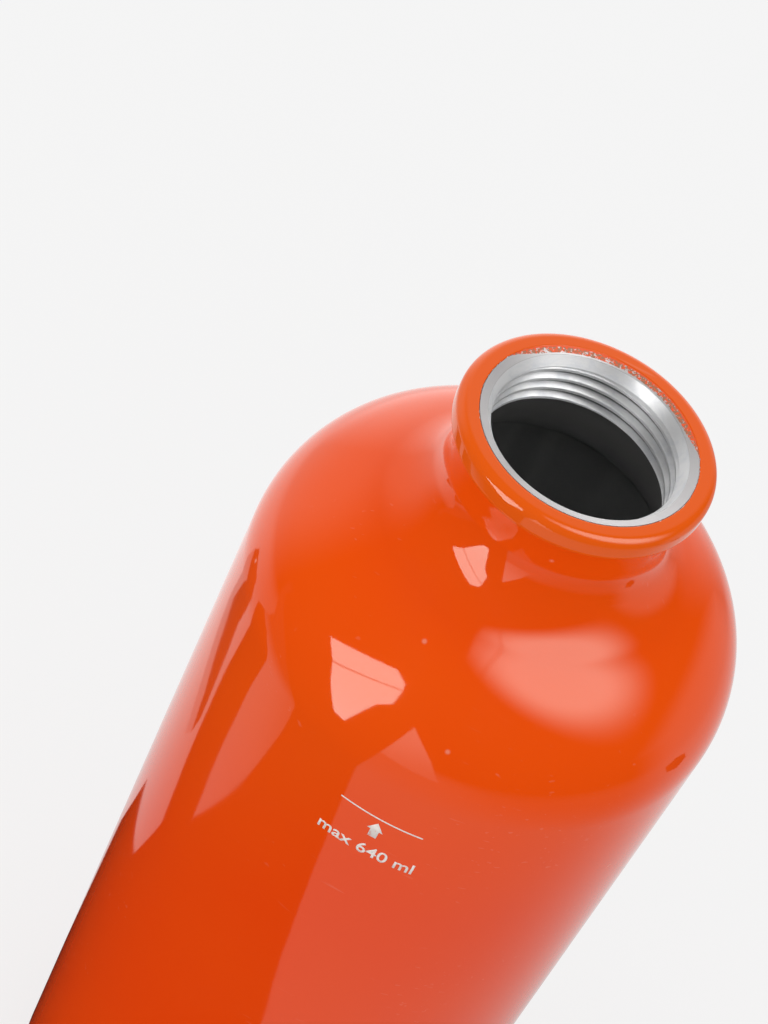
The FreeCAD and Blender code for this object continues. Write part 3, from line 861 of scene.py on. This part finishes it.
plug_plastic = moulded("plug_plastic", (0.026, 0.026, 0.028, 1), (0.036, 0.036, 0.038, 1),
                       grain_scale=2600.0, grain_depth=0.010 * MM, rough=0.55)
cover_plastic = moulded("cover_plastic", (0.028, 0.028, 0.030, 1), (0.040, 0.040, 0.042, 1),
                        grain_scale=2200.0, grain_depth=0.016 * MM, rough=0.58)
seal_rubber = moulded("seal_rubber", (0.16, 0.030, 0.020, 1), (0.12, 0.024, 0.017, 1),
                      grain_scale=1500.0, grain_depth=0.006 * MM, rough=0.50)
washer_nylon = moulded("washer_nylon", (0.72, 0.70, 0.64, 1), (0.66, 0.63, 0.56, 1),
                       grain_scale=1800.0, grain_depth=0.005 * MM, rough=0.45)
spring_steel = drawn_steel("spring_steel", line_scale=9000.0, rough=0.20)
retainer_steel = drawn_steel("retainer_steel", line_scale=5000.0, rough=0.28)
print("stopper finishes: 6")

# %% [markdown]
# ## The plug
#
# The plug is turned like the shell: a hollow shank, a collar, a flange and a boss for the spring. A mould
# leaves no edge quite sharp, so a helper rounds every corner of the outline. The twelve drive lugs stand
# on the flange, and a second tree sets them there: one block, put on points round a circle.

# %% Plug
PLUG_CLEARANCE = 0.15 * MM
PLUG_RADIUS = THREAD_BORE - PLUG_CLEARANCE
PLUG_LENGTH = 11.0 * MM
HOLLOW_RADIUS = PLUG_RADIUS - 3.0 * MM
HOLLOW_TOP = 14.9 * MM
COLLAR_RADIUS = 16.72 * MM
FLANGE_RADIUS = plug_high.x - STOPPER_X
FLANGE_LEVEL = 15.5 * MM
FLANGE_TOP = 17.9 * MM
BOSS_RADIUS = 6.5 * MM
BOSS_HOLLOW = 4.2 * MM
BOSS_TOP = plug_high.z
LUG_COUNT = 12
LUG_WIDTH = 2.6 * MM
LUG_INSIDE = FLANGE_RADIUS - 2.9 * MM
LUG_OUTSIDE = FLANGE_RADIUS - 0.3 * MM
LUG_TOP = 20.1 * MM
LUG_ROOT = 0.2 * MM
MOULD_ROUND = 0.3 * MM


def rounded(points, radius, steps=4):
    """An outline with its corners rounded, and a point close to each so that flats stay flat."""
    made = [points[0]]
    for before, corner, after in zip(points, points[1:], points[2:]):
        middle = Vector(corner)
        ways = [Vector(end) - middle for end in (before, after)]
        cut = min(radius, ways[0].length / 3, ways[1].length / 3)
        start, end = [middle + way.normalized() * cut for way in ways]
        made.append(tuple(start + ways[0].normalized() * cut * 0.4))
        for step in range(steps + 1):
            share = step / steps
            point = start * (1 - share) ** 2 + middle * 2 * share * (1 - share) + end * share ** 2
            made.append(tuple(point))
        made.append(tuple(end + ways[1].normalized() * cut * 0.4))
    return made + [points[-1]]


def blocks_tree():
    tree, size, result = new_tree("stand_blocks", "GeometryNodeTree", [
        ("Geometry", "Geometry"), ("Count", "Int"), ("Inside", "Float"), ("Outside", "Float"),
        ("Width", "Float"), ("Foot", "Float"), ("Top", "Float"), ("Turn", "Float"), ("Axis", "Float"),
        ("Finish", "Material"),
    ], [("Geometry", "Geometry")])
    depth = calc(tree, "SUBTRACT", size["Outside"], size["Inside"])
    height = calc(tree, "SUBTRACT", size["Top"], size["Foot"])
    extent = combined(tree, depth, size["Width"], height)
    block = add(tree, "GeometryNodeMeshCube", {"Size": extent}).outputs[0]
    index = add(tree, "GeometryNodeInputIndex").outputs[0]
    turn = calc(tree, "MULTIPLY_ADD", calc(tree, "DIVIDE", index, size["Count"]), math.tau, size["Turn"])
    middle = calc(tree, "MULTIPLY_ADD", depth, 0.5, size["Inside"])
    across = calc(tree, "MULTIPLY_ADD", middle, calc(tree, "COSINE", turn), size["Axis"])
    along = calc(tree, "MULTIPLY", middle, calc(tree, "SINE", turn))
    level = calc(tree, "MULTIPLY_ADD", height, 0.5, size["Foot"])
    place = combined(tree, across, along, level)
    points = add(tree, "GeometryNodePoints", {"Count": size["Count"], "Position": place}).outputs[0]
    facing = combined(tree, 0.0, 0.0, turn)
    placed = {"Points": points, "Instance": block, "Rotation": facing}
    blocks = add(tree, "GeometryNodeInstanceOnPoints", placed).outputs[0]
    joined = add(tree, "GeometryNodeJoinGeometry")
    tree.links.new(size["Geometry"], joined.inputs[0])
    tree.links.new(blocks, joined.inputs[0])
    finish_tree(tree, result, joined.outputs[0], size["Finish"])
    return tree


stand_blocks = blocks_tree()
plug_outline = rounded([
    (0, HOLLOW_TOP), (HOLLOW_RADIUS, HOLLOW_TOP), (HOLLOW_RADIUS, 0), (PLUG_RADIUS, 0),
    (PLUG_RADIUS, PLUG_LENGTH), (COLLAR_RADIUS, PLUG_LENGTH), (COLLAR_RADIUS, FLANGE_LEVEL),
    (FLANGE_RADIUS, FLANGE_LEVEL), (FLANGE_RADIUS, FLANGE_TOP), (BOSS_RADIUS, FLANGE_TOP),
    (BOSS_RADIUS, BOSS_TOP), (BOSS_HOLLOW, BOSS_TOP), (BOSS_HOLLOW, FLANGE_TOP), (0, FLANGE_TOP),
], MOULD_ROUND)
lugs = {
    "Count": LUG_COUNT, "Inside": LUG_INSIDE, "Outside": LUG_OUTSIDE, "Width": LUG_WIDTH,
    "Foot": FLANGE_TOP - LUG_ROOT, "Top": LUG_TOP, "Turn": 0.0, "Axis": STOPPER_X,
    "Finish": plug_plastic,
}
plug = turned("plug_body", plug_outline, plug_plastic, axis=STOPPER_X, segments=192,
              more=[(stand_blocks, lugs)])
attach(plug, "plug")
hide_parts("stopper_plug")

# %% [markdown]
# The shank's thread uses the ring's tree. Here the wall is a shank and not a bore, so the cone cuts the
# thread down at the lower end, and the thread runs out before it reaches the seal.

# %% Plug thread
SLEEVE_BACK = PLUG_RADIUS - 0.5 * MM
SLEEVE_FOOT = 0.6 * MM
SLEEVE_TOP = 8.0 * MM
SLEEVE_RADIUS = PLUG_RADIUS + 0.03 * MM
SLEEVE_DEPTH = 1.0 * MM
SLEEVE_RUN_OUT = 1.6 * MM
TIP_RADIUS = PLUG_RADIUS + 0.05 * MM
TIP_SLOPE = 0.8

sleeve_values = {
    "Base Radius": SLEEVE_RADIUS, "Depth": SLEEVE_DEPTH, "Pitch": THREAD_PITCH, "Start": 0.0,
    "Foot": SLEEVE_FOOT, "Top": SLEEVE_TOP, "Last Turn": SLEEVE_TOP, "Run Out": SLEEVE_RUN_OUT,
    "Lip Radius": SLEEVE_BACK, "Lip Level": SLEEVE_TOP, "Back Radius": SLEEVE_BACK,
    "Back Level": SLEEVE_TOP, "Cone Radius": TIP_RADIUS, "Cone Slope": TIP_SLOPE,
    "Cone Level": SLEEVE_FOOT, "Bore": 0.0, "Columns": 240, "Rows": 100, "Axis": STOPPER_X,
    "Finish": plug_plastic,
}
sleeve = run_trees("plug_thread", bpy.data.meshes.new("sleeve_start"), [(cut_thread, sleeve_values)])
face_outwards(sleeve)
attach(sleeve, "plug")

# %% [markdown]
# ## The cover
#
# The cover is a cup with thirty flutes for the fingers and twelve ribs inside, which drive the plug's lugs
# when the cover is pushed down. The cup is turned first. A tree then cuts the flutes as a round cutter
# would: along each ray from the axis it works out where the cutter's circle begins, and pulls the wall in
# to that radius. The blocks tree adds the ribs.

# %% Cover
COVER_INSIDE = COVER_RADIUS - 2.4 * MM
CEILING = COVER_SUMMIT - 2.4 * MM
COVER_ROUND = 2.0 * MM
GROOVE_RADIUS = COVER_INSIDE + 0.9 * MM
GROOVE_FOOT = COVER_FOOT + 1.0 * MM
GROOVE_TOP = FLANGE_LEVEL
FLUTE_COUNT = 30
FLUTE_RADIUS = 1.5 * MM
FLUTE_AXIS = COVER_RADIUS + FLUTE_RADIUS - 0.7 * MM
FLUTE_FOOT = COVER_FOOT + 3.0 * MM
FLUTE_STEP = 0.05 * MM
RIB_FOOT = LUG_TOP + 0.5 * MM
RIB_TOP = CEILING + 0.3 * MM
RIB_OUTSIDE = COVER_INSIDE + 0.5 * MM


def flute_tree():
    tree, size, result = new_tree("cut_flutes", "GeometryNodeTree", [
        ("Geometry", "Geometry"), ("Count", "Int"), ("Cutter Radius", "Float"), ("Cutter Axis", "Float"),
        ("Foot", "Float"), ("Axis", "Float"), ("Finish", "Material"),
    ], [("Geometry", "Geometry")])
    place = add(tree, "GeometryNodeInputPosition").outputs[0]
    parts = split(tree, place)
    across = calc(tree, "SUBTRACT", parts[0], size["Axis"])
    radius = off_axis(tree, across, parts[1])
    share = calc(tree, "DIVIDE", calc(tree, "ARCTAN2", parts[1], across), math.tau)
    share = calc(tree, "MULTIPLY", share, size["Count"])
    off = calc(tree, "SUBTRACT", share, calc(tree, "ROUND", share))
    turn = calc(tree, "MULTIPLY", calc(tree, "DIVIDE", off, size["Count"]), math.tau)
    side = calc(tree, "MULTIPLY", size["Cutter Axis"], calc(tree, "SINE", turn))
    squares = [calc(tree, "POWER", length, 2.0) for length in (size["Cutter Radius"], side)]
    left = calc(tree, "SUBTRACT", *squares)
    ahead = calc(tree, "MULTIPLY", size["Cutter Axis"], calc(tree, "COSINE", turn))
    cut = calc(tree, "SUBTRACT", ahead, calc(tree, "SQRT", calc(tree, "MAXIMUM", left, 0.0)))
    within = calc(tree, "GREATER_THAN", left, 0.0)
    above = calc(tree, "GREATER_THAN", parts[2], size["Foot"])
    reached = calc(tree, "MULTIPLY", within, above)
    wanted = blend(tree, reached, radius, calc(tree, "MINIMUM", radius, cut))
    scale = calc(tree, "DIVIDE", wanted, calc(tree, "MAXIMUM", radius, WELD))
    across = calc(tree, "MULTIPLY_ADD", across, scale, size["Axis"])
    along = calc(tree, "MULTIPLY", parts[1], scale)
    place = combined(tree, across, along, parts[2])
    inputs = {"Geometry": size["Geometry"], "Position": place}
    moved = add(tree, "GeometryNodeSetPosition", inputs).outputs[0]
    finish_tree(tree, result, moved, size["Finish"])
    return tree


cup = rounded([
    (0, CEILING), (COVER_INSIDE, CEILING), (COVER_INSIDE, GROOVE_TOP), (GROOVE_RADIUS, GROOVE_TOP),
    (GROOVE_RADIUS, GROOVE_FOOT), (COVER_INSIDE, GROOVE_FOOT), (COVER_INSIDE, COVER_FOOT),
    (COVER_RADIUS, COVER_FOOT), (COVER_RADIUS, FLUTE_FOOT),
], MOULD_ROUND)
cup += [(COVER_RADIUS, FLUTE_FOOT + FLUTE_STEP)]
cup += straight((COVER_RADIUS, FLUTE_FOOT), (COVER_RADIUS, COVER_SUMMIT - COVER_ROUND))
cup += arc(COVER_RADIUS - COVER_ROUND, COVER_SUMMIT - COVER_ROUND, COVER_ROUND, 0, 90, 7.5)
cup += [(COVER_RADIUS - COVER_ROUND - 0.4 * MM, COVER_SUMMIT), (0, COVER_SUMMIT)]
flutes = {
    "Count": FLUTE_COUNT, "Cutter Radius": FLUTE_RADIUS, "Cutter Axis": FLUTE_AXIS,
    "Foot": FLUTE_FOOT + FLUTE_STEP / 2, "Axis": STOPPER_X, "Finish": cover_plastic,
}
ribs = {
    "Count": LUG_COUNT, "Inside": LUG_INSIDE, "Outside": RIB_OUTSIDE, "Width": LUG_WIDTH,
    "Foot": RIB_FOOT, "Top": RIB_TOP, "Turn": math.pi / LUG_COUNT, "Axis": STOPPER_X,
    "Finish": cover_plastic,
}
cover = turned("cover_cup", cup, cover_plastic, axis=STOPPER_X, segments=720,
               more=[(flute_tree(), flutes), (stand_blocks, ribs)])
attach(cover, "cover")
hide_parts("stopper_cover")

# %% [markdown]
# ## The small pieces
#
# The seal, the spring, the washer and the retaining ring have their right shape in the measured model
# already. They only take their finish here. The stopper belongs beside the bottle, but its picture in the
# lacquer would only distract, so gloss does not see it.

# %% Small pieces
for node, finish in (("stopper_seal", seal_rubber), ("stopper_spring", spring_steel),
                     ("stopper_washer", washer_nylon), ("stopper_retainer", retainer_steel)):
    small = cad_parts[node]
    small.material_slots[0].material = finish
    small.visible_glossy = False
    print(node, "wears", finish.name)
for piece in (plug, sleeve, cover):
    piece.visible_glossy = False

# %% [markdown]
# ## The fill mark
#
# A white line round the front shows how far the bottle may be filled, with an arrow and plain words
# under it. The mark is drawn flat, as a designer would draw it, and a small tree then wraps it on the
# body: the distance across becomes an angle. A thin Solidify gives the ink its thickness.

# %% Fill mark
INK = (0.80, 0.74, 0.70, 1)
INK_FILM = 0.02 * MM
FILL_LEVEL = RIM_LEVEL - 49.4 * MM
LINE_LENGTH = 13.2 * MM
LINE_WIDTH = 0.27 * MM
ARROW_TIP = FILL_LEVEL - 1.0 * MM
ARROW_HEIGHT = 3.4 * MM
ARROW_WIDTH = 2.5 * MM
HEAD_SHARE = 0.52
STEM_SHARE = 0.27
WORDS = "max 640 ml"
WORDS_LEVEL = FILL_LEVEL - 8.8 * MM
WORDS_HEIGHT = 2.3 * MM
WORDS_LENGTH = 15.4 * MM
BOLDNESS = 0.012


def white_ink():
    material, tree, shader = new_finish("white_ink", IOR=1.45)
    worn = effect(tree, moulded_grain, Grain_Scale=1800.0)
    thin = ramp(tree, worn["Height"], 0.40, 0.30)
    feed(tree, shader.inputs["Base Color"], mixed(tree, calc(tree, "MULTIPLY", thin, 0.5), INK, ORANGE))
    feed(tree, shader.inputs["Roughness"], calc(tree, "MULTIPLY_ADD", worn["Height"], 0.2, 0.3))
    return material


def wrap_tree():
    tree, size, result = new_tree("wrap_print", "GeometryNodeTree", [
        ("Print", "Geometry"), ("Radius", "Float"), ("Finish", "Material"),
    ], [("Geometry", "Geometry")])
    place = add(tree, "GeometryNodeInputPosition").outputs[0]
    parts = split(tree, place)
    turn = calc(tree, "SUBTRACT", calc(tree, "DIVIDE", parts[0], size["Radius"]), math.pi / 2)
    shape = bent_round(tree, size["Print"], turn, size["Radius"], parts[1], 0.0)
    finish_tree(tree, result, shape, size["Finish"])
    return tree


def flat_words(words, length, height, level):
    """Words as a flat mesh of that length and height, centred on the front, with their feet at a level."""
    curve = bpy.data.curves.new("words", "FONT")
    curve.body = words
    curve.align_x = "CENTER"
    curve.offset = BOLDNESS
    curve.resolution_u = 6
    holder = bpy.data.objects.new("words", curve)
    bpy.context.scene.collection.objects.link(holder)
    bpy.context.view_layer.update()
    mesh = as_mesh(holder)
    bpy.data.objects.remove(holder)
    reach = [max(point.co[axis] for point in mesh.vertices) for axis in (0, 1)]
    scale = Matrix.Diagonal((length / 2 / reach[0], height / reach[1], 1, 1))
    mesh.transform(Matrix.Translation((0, level, 0)) @ scale)
    return mesh


def add_strip(work, length, width, level, parts=40):
    """A straight line of ink, in short pieces so that it can bend."""
    sides = []
    for side in (-0.5, 0.5):
        points = [(length * (step / parts - 0.5), level + side * width, 0) for step in range(parts + 1)]
        sides.append([work.verts.new(point) for point in points])
    for step in range(parts):
        work.faces.new((sides[0][step], sides[0][step + 1], sides[1][step + 1], sides[1][step]))


def add_arrow(work, width, height, tip):
    """An arrow that points up: a head over a shorter stem."""
    neck = tip - height * HEAD_SHARE
    foot = tip - height
    stem = width * STEM_SHARE
    half = width / 2
    corners = [(0, tip), (-half, neck), (-stem, neck), (-stem, foot)]
    corners += [(stem, foot), (stem, neck), (half, neck)]
    work.faces.new([work.verts.new((across, up, 0)) for across, up in corners])


def fill_mark():
    work = bmesh.new()
    work.from_mesh(flat_words(WORDS, WORDS_LENGTH, WORDS_HEIGHT, WORDS_LEVEL))
    add_strip(work, LINE_LENGTH, LINE_WIDTH, FILL_LEVEL)
    add_arrow(work, ARROW_WIDTH, ARROW_HEIGHT, ARROW_TIP)
    bmesh.ops.triangulate(work, faces=work.faces)
    flat = bpy.data.meshes.new("mark_flat")
    work.to_mesh(flat)
    work.free()
    values = {"Radius": BODY_RADIUS + INK_FILM, "Finish": white_ink()}
    mark = run_trees("fill_mark", flat, [(wrap_tree(), values)])
    film = mark.modifiers.new("film", "SOLIDIFY")
    film.thickness = INK_FILM
    film.offset = -1.0
    mark.data = as_mesh(mark)
    mark.modifiers.clear()
    mark.data.name = "fill_mark"
    return mark


mark = fill_mark()
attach(mark, "bottle")
print(f"fill_mark: {len(mark.data.polygons)} faces, line {FILL_LEVEL / MM:.1f} mm above the foot")

# %% [markdown]
# ## Floor and background
#
# The floor is pale and wide. To the camera it is a plain near-white, which is the background of the
# picture, and under that a diffuse floor still takes the shadow. Gloss sees it brighter towards the back
# and the left, where the light falls on it, and dimmer in front. Far away it takes the shade of the room
# on that side, so that no horizon shows. The room's pale sides are therefore listed here: each has a
# direction, the angles within which it fades, and a strength.

# %% Floor
LOBES = [
    (Vector((-0.72, 0.68, 0.14)), 20.0, 52.0, 0.72),
    (Vector((-0.20, 0.97, 0.10)), 10.0, 55.0, 1.58),
    (Vector((0.80, 0.50, -0.33)), 25.0, 42.0, 0.46),
]
ROOM_DIM = 0.01
PAPER = 0.915
FLOOR_FRONT = (0.46, 0.20)
FRONT_SPAN = (0.0, 0.35)
FLOOR_BACK = (1.03, 0.55)
BACK_SPAN = (-0.15, 0.35)
BACK_FROM = (-0.06, 0.16)
FAR_FROM = (0.40, 0.70)
FLOOR_SIZE = 6.0
FLOOR_PAINT = (0.80, 0.80, 0.80, 1)
SHADOW_SHARE = 0.2


def pale_sides(tree, way):
    """How bright the room is in a direction, without its lamps."""
    level = ROOM_DIM
    for aim, inner, outer, strength in LOBES:
        along = add(tree, "ShaderNodeVectorMath", {0: way, 1: aim.normalized()}, operation="DOT_PRODUCT")
        away = calc(tree, "ARCCOSINE", along.outputs["Value"])
        lobe = ramp(tree, away, math.radians(outer), math.radians(inner), 0.0, strength)
        level = calc(tree, "MAXIMUM", lobe, level)
    return level


def empty_tree(holder):
    """The node tree of a material or a world, with nothing in it."""
    holder.use_nodes = True
    holder.node_tree.nodes.clear()
    return holder.node_tree


def paper_floor():
    material = bpy.data.materials.new("paper_floor")
    tree = empty_tree(material)
    path = add(tree, "ShaderNodeLightPath").outputs
    parts = split(tree, object_place(tree))
    front = ramp(tree, parts[0], *FRONT_SPAN, *FLOOR_FRONT)
    back = ramp(tree, parts[0], *BACK_SPAN, *FLOOR_BACK)
    near = blend(tree, ramp(tree, parts[1], *BACK_FROM), front, back)
    flat = combined(tree, parts[0], parts[1])
    away = add(tree, "ShaderNodeVectorMath", {0: flat}, operation="LENGTH").outputs["Value"]
    way = add(tree, "ShaderNodeVectorMath", {0: flat}, operation="NORMALIZE").outputs[0]
    mirrored = blend(tree, ramp(tree, away, *FAR_FROM), near, pale_sides(tree, way))
    level = blend(tree, path["Is Glossy Ray"], PAPER, mirrored)
    matt = add(tree, "ShaderNodeBsdfDiffuse", {"Color": FLOOR_PAINT}).outputs[0]
    plain = add(tree, "ShaderNodeEmission", {"Strength": level}).outputs[0]
    clear = calc(tree, "MAXIMUM", path["Is Camera Ray"], path["Is Transmission Ray"])
    share = calc(tree, "MAXIMUM", calc(tree, "MULTIPLY", clear, 1.0 - SHADOW_SHARE), path["Is Glossy Ray"])
    both = add(tree, "ShaderNodeMixShader", {0: share, 1: matt, 2: plain}).outputs[0]
    add(tree, "ShaderNodeOutputMaterial", {"Surface": both})
    return material


def stage_mesh(name, corners, faces, material):
    """A piece of the studio: floor, lamp or card."""
    mesh = bpy.data.meshes.new(name)
    mesh.from_pydata([tuple(corner) for corner in corners], [], faces)
    mesh.materials.append(material)
    piece = bpy.data.objects.new(name, mesh)
    bpy.context.scene.collection.objects.link(piece)
    return piece


half = FLOOR_SIZE / 2
floor_corners = [(-half, -half, 0), (half, -half, 0), (half, half, 0), (-half, half, 0)]
stage_mesh("floor", floor_corners, [(0, 1, 2, 3)], paper_floor())
print("floor:", FLOOR_SIZE, "m")

# %% [markdown]
# ## The room
#
# Matt surfaces get a plain white dome, the softest light there is, a little brighter above and on the
# left. Gloss needs more than that, because lacquer shows what it mirrors: a large round light overhead on
# the right with a straight edge, pale sides at the back and low on the right, and a dark room in front.
# The world draws both, and the Light Path node tells it which of them a ray should meet. The camera sees
# plain paper.

# %% Room
DOME_SIDE = 0.98
DOME_TOP = 1.18
DOME_LEAN = -0.10
OVERHEAD = 4.05
OVERHEAD_PLACE = (0.45, -0.06)
OVERHEAD_REACH = (0.48, 0.46)
OVERHEAD_EDGE = (1.12, 0.45)
CUT_OFF = (-0.01, 0.015)
SEAM_PLACE = 0.12
SEAM_WIDTH = 0.014
SEAM_SHADE = 0.25


def overhead_light(tree, way):
    """A soft round light overhead, cut off straight on its left, with one thin seam."""
    parts = split(tree, way)
    shares = []
    for axis in (0, 1):
        off_middle = calc(tree, "SUBTRACT", parts[axis], OVERHEAD_PLACE[axis])
        shares.append(calc(tree, "POWER", calc(tree, "DIVIDE", off_middle, OVERHEAD_REACH[axis]), 2.0))
    far = calc(tree, "SQRT", calc(tree, "ADD", *shares))
    light = ramp(tree, far, *OVERHEAD_EDGE, 0.0, OVERHEAD)
    light = calc(tree, "MULTIPLY", light, ramp(tree, parts[0], *CUT_OFF))
    light = calc(tree, "MULTIPLY", light, calc(tree, "GREATER_THAN", parts[2], 0.0))
    seam = calc(tree, "COMPARE", parts[0], SEAM_PLACE, SEAM_WIDTH)
    return calc(tree, "MULTIPLY", light, calc(tree, "MULTIPLY_ADD", seam, -SEAM_SHADE, 1.0))


def room_light():
    world = bpy.data.worlds.new("room")
    tree = empty_tree(world)
    way = add(tree, "ShaderNodeTexCoord").outputs["Generated"]
    mirrored = calc(tree, "MAXIMUM", overhead_light(tree, way), pale_sides(tree, way))
    parts = split(tree, way)
    dome = ramp(tree, parts[2], 0.0, 1.0, DOME_SIDE, DOME_TOP)
    dome = calc(tree, "MULTIPLY_ADD", parts[0], DOME_LEAN, dome)
    path = add(tree, "ShaderNodeLightPath").outputs
    level = blend(tree, path["Is Glossy Ray"], dome, mirrored)
    level = blend(tree, path["Is Camera Ray"], level, PAPER)
    sky = add(tree, "ShaderNodeBackground", {"Color": (1, 1, 1, 1), "Strength": level}).outputs[0]
    add(tree, "ShaderNodeOutputWorld", {"Surface": sky})
    return world


bpy.context.scene.world = room_light()
print("room: an overhead light and", len(LOBES), "pale sides")

# %% [markdown]
# ## Lamps
#
# Two near things show in the lacquer as crisp shapes: a window on the left with a glazing bar across it,
# and a strip of white paper in front. Each is a flat shape that glows, so the lacquer mirrors its true
# outline from the right distance. Only gloss sees them.

# %% Lamps
WINDOW_UPPER = [(-309, -238, 248), (-144, -313, 407), (-111, -339, 378), (-104, -342, 345),
                (-274, -274, 192)]
WINDOW_LOWER = [(-272, -277, 185), (-103.6, -342.4, 338), (-108, -362, 259), (-138, -353, 207),
                (-194, -356, 4), (-225, -335, 4)]
GLAZING_BAR = [WINDOW_UPPER[4], WINDOW_UPPER[3], WINDOW_LOWER[1], WINDOW_LOWER[0]]
FRONT_PAPER = [(-32, -375, 225), (-74, -375, 4), (86, -375, 4), (43, -375, 107), (17, -375, 150)]
PAPER_FADE = (Vector((-0.02, -0.375, 0.24)), Vector((0.10, -0.375, 0.02)), 0.8)


def glow(name, strength, fade=None):
    """A material that gives light. A fade is (start point, end point, strength there)."""
    material = bpy.data.materials.new(name)
    tree = empty_tree(material)
    level = strength
    if fade:
        start, end, far_strength = fade
        way = end - start
        along = add(tree, "ShaderNodeVectorMath", {0: object_place(tree), 1: way / way.length_squared},
                    operation="DOT_PRODUCT").outputs["Value"]
        share = calc(tree, "SUBTRACT", along, start.dot(way) / way.length_squared)
        level = ramp(tree, share, 0.0, 1.0, strength, far_strength)
    light = add(tree, "ShaderNodeEmission", {"Strength": level}).outputs[0]
    add(tree, "ShaderNodeOutputMaterial", {"Surface": light})
    return material


def lamp(name, corners, material):
    """A flat glowing shape that only gloss sees."""
    points = [Vector(corner) * MM for corner in corners]
    piece = stage_mesh(name, points, [tuple(range(len(points)))], material)
    piece.visible_camera = False
    piece.visible_diffuse = False
    piece.visible_shadow = False


window_glow = glow("window_glow", strength=6.0)
lamp("window_upper", WINDOW_UPPER, window_glow)
lamp("window_lower", WINDOW_LOWER, window_glow)
lamp("glazing_bar", GLAZING_BAR, glow("bar_glow", strength=2.5))
lamp("front_paper", FRONT_PAPER, glow("front_paper_glow", strength=2.0, fade=PAPER_FADE))
print("lamps: a window with its glazing bar, and front paper")

# %% [markdown]
# Dark card laid in front on the left keeps that side of the lacquer deep. A pale band lies on it, and it
# darkens towards the front. Behind the card lies a dark streak with a pale edge, and on the right a small
# dark spot.

# %% Cards
CARD_LEVEL = 0.6
CARD = [(0, -40), (0, -100), (-50, -158), (-80, -420), (-150, -1000), (-2900, -1000), (-2900, -350),
        (-1000, -125), (-400, -85), (-320, -55), (-288, -25), (-256, 2), (-183, 13), (-157, 18),
        (-144, 19), (-122, 9), (-113, 2), (-105, -4), (-90, 8), (-84, 45), (-60, 45)]
BAND = [(-112, -36), (-130, -31), (-150, -32), (-165, -42), (-192, -51), (-242, -51), (-292, -30),
        (-320, -55), (-400, -85), (-1000, -125), (-2900, -350), (-2900, -560), (-944, -175),
        (-376, -165), (-215, -130), (-141, -105), (-125, -95), (-117, -74)]
BAND_FADE = (Vector((-0.15, -0.055, 0)), Vector((-0.175, -0.125, 0)), 0.08)
STREAK = [(-293, 89), (-262, 37), (-200, 28), (-149, 40), (-144, 32), (-137, 25), (-128, 18),
          (-122, 21), (-128, 33), (-132, 60), (-131, 76), (-171, 64), (-237, 92)]
STREAK_EDGE = [(-237, 92), (-171, 64), (-131, 76), (-132, 60), (-128, 33), (-122, 21), (-117, 28),
               (-121, 50), (-121, 86), (-160, 92)]
SPOT = [(290, 105), (335, 82), (420, 85), (430, 125), (370, 142), (310, 132)]


def card(name, outline, level, shade, fade=None):
    """A card on the floor that only gloss sees."""
    lamp(name, [(across, along, level) for across, along in outline], glow(name + "_shade", shade, fade))


card("left_card", CARD, CARD_LEVEL, shade=0.01)
card("left_band", BAND, CARD_LEVEL * 2, shade=0.53, fade=BAND_FADE)
card("left_streak", STREAK, CARD_LEVEL, shade=0.03)
card("streak_edge", STREAK_EDGE, CARD_LEVEL, shade=0.5)
card("right_spot", SPOT, CARD_LEVEL, shade=0.03)
print("cards: 5")

# %% [markdown]
# ## Colour view
#
# The picture's colours go through the Standard view transform.

# %% Colour view
bpy.context.scene.view_settings.view_transform = "Standard"
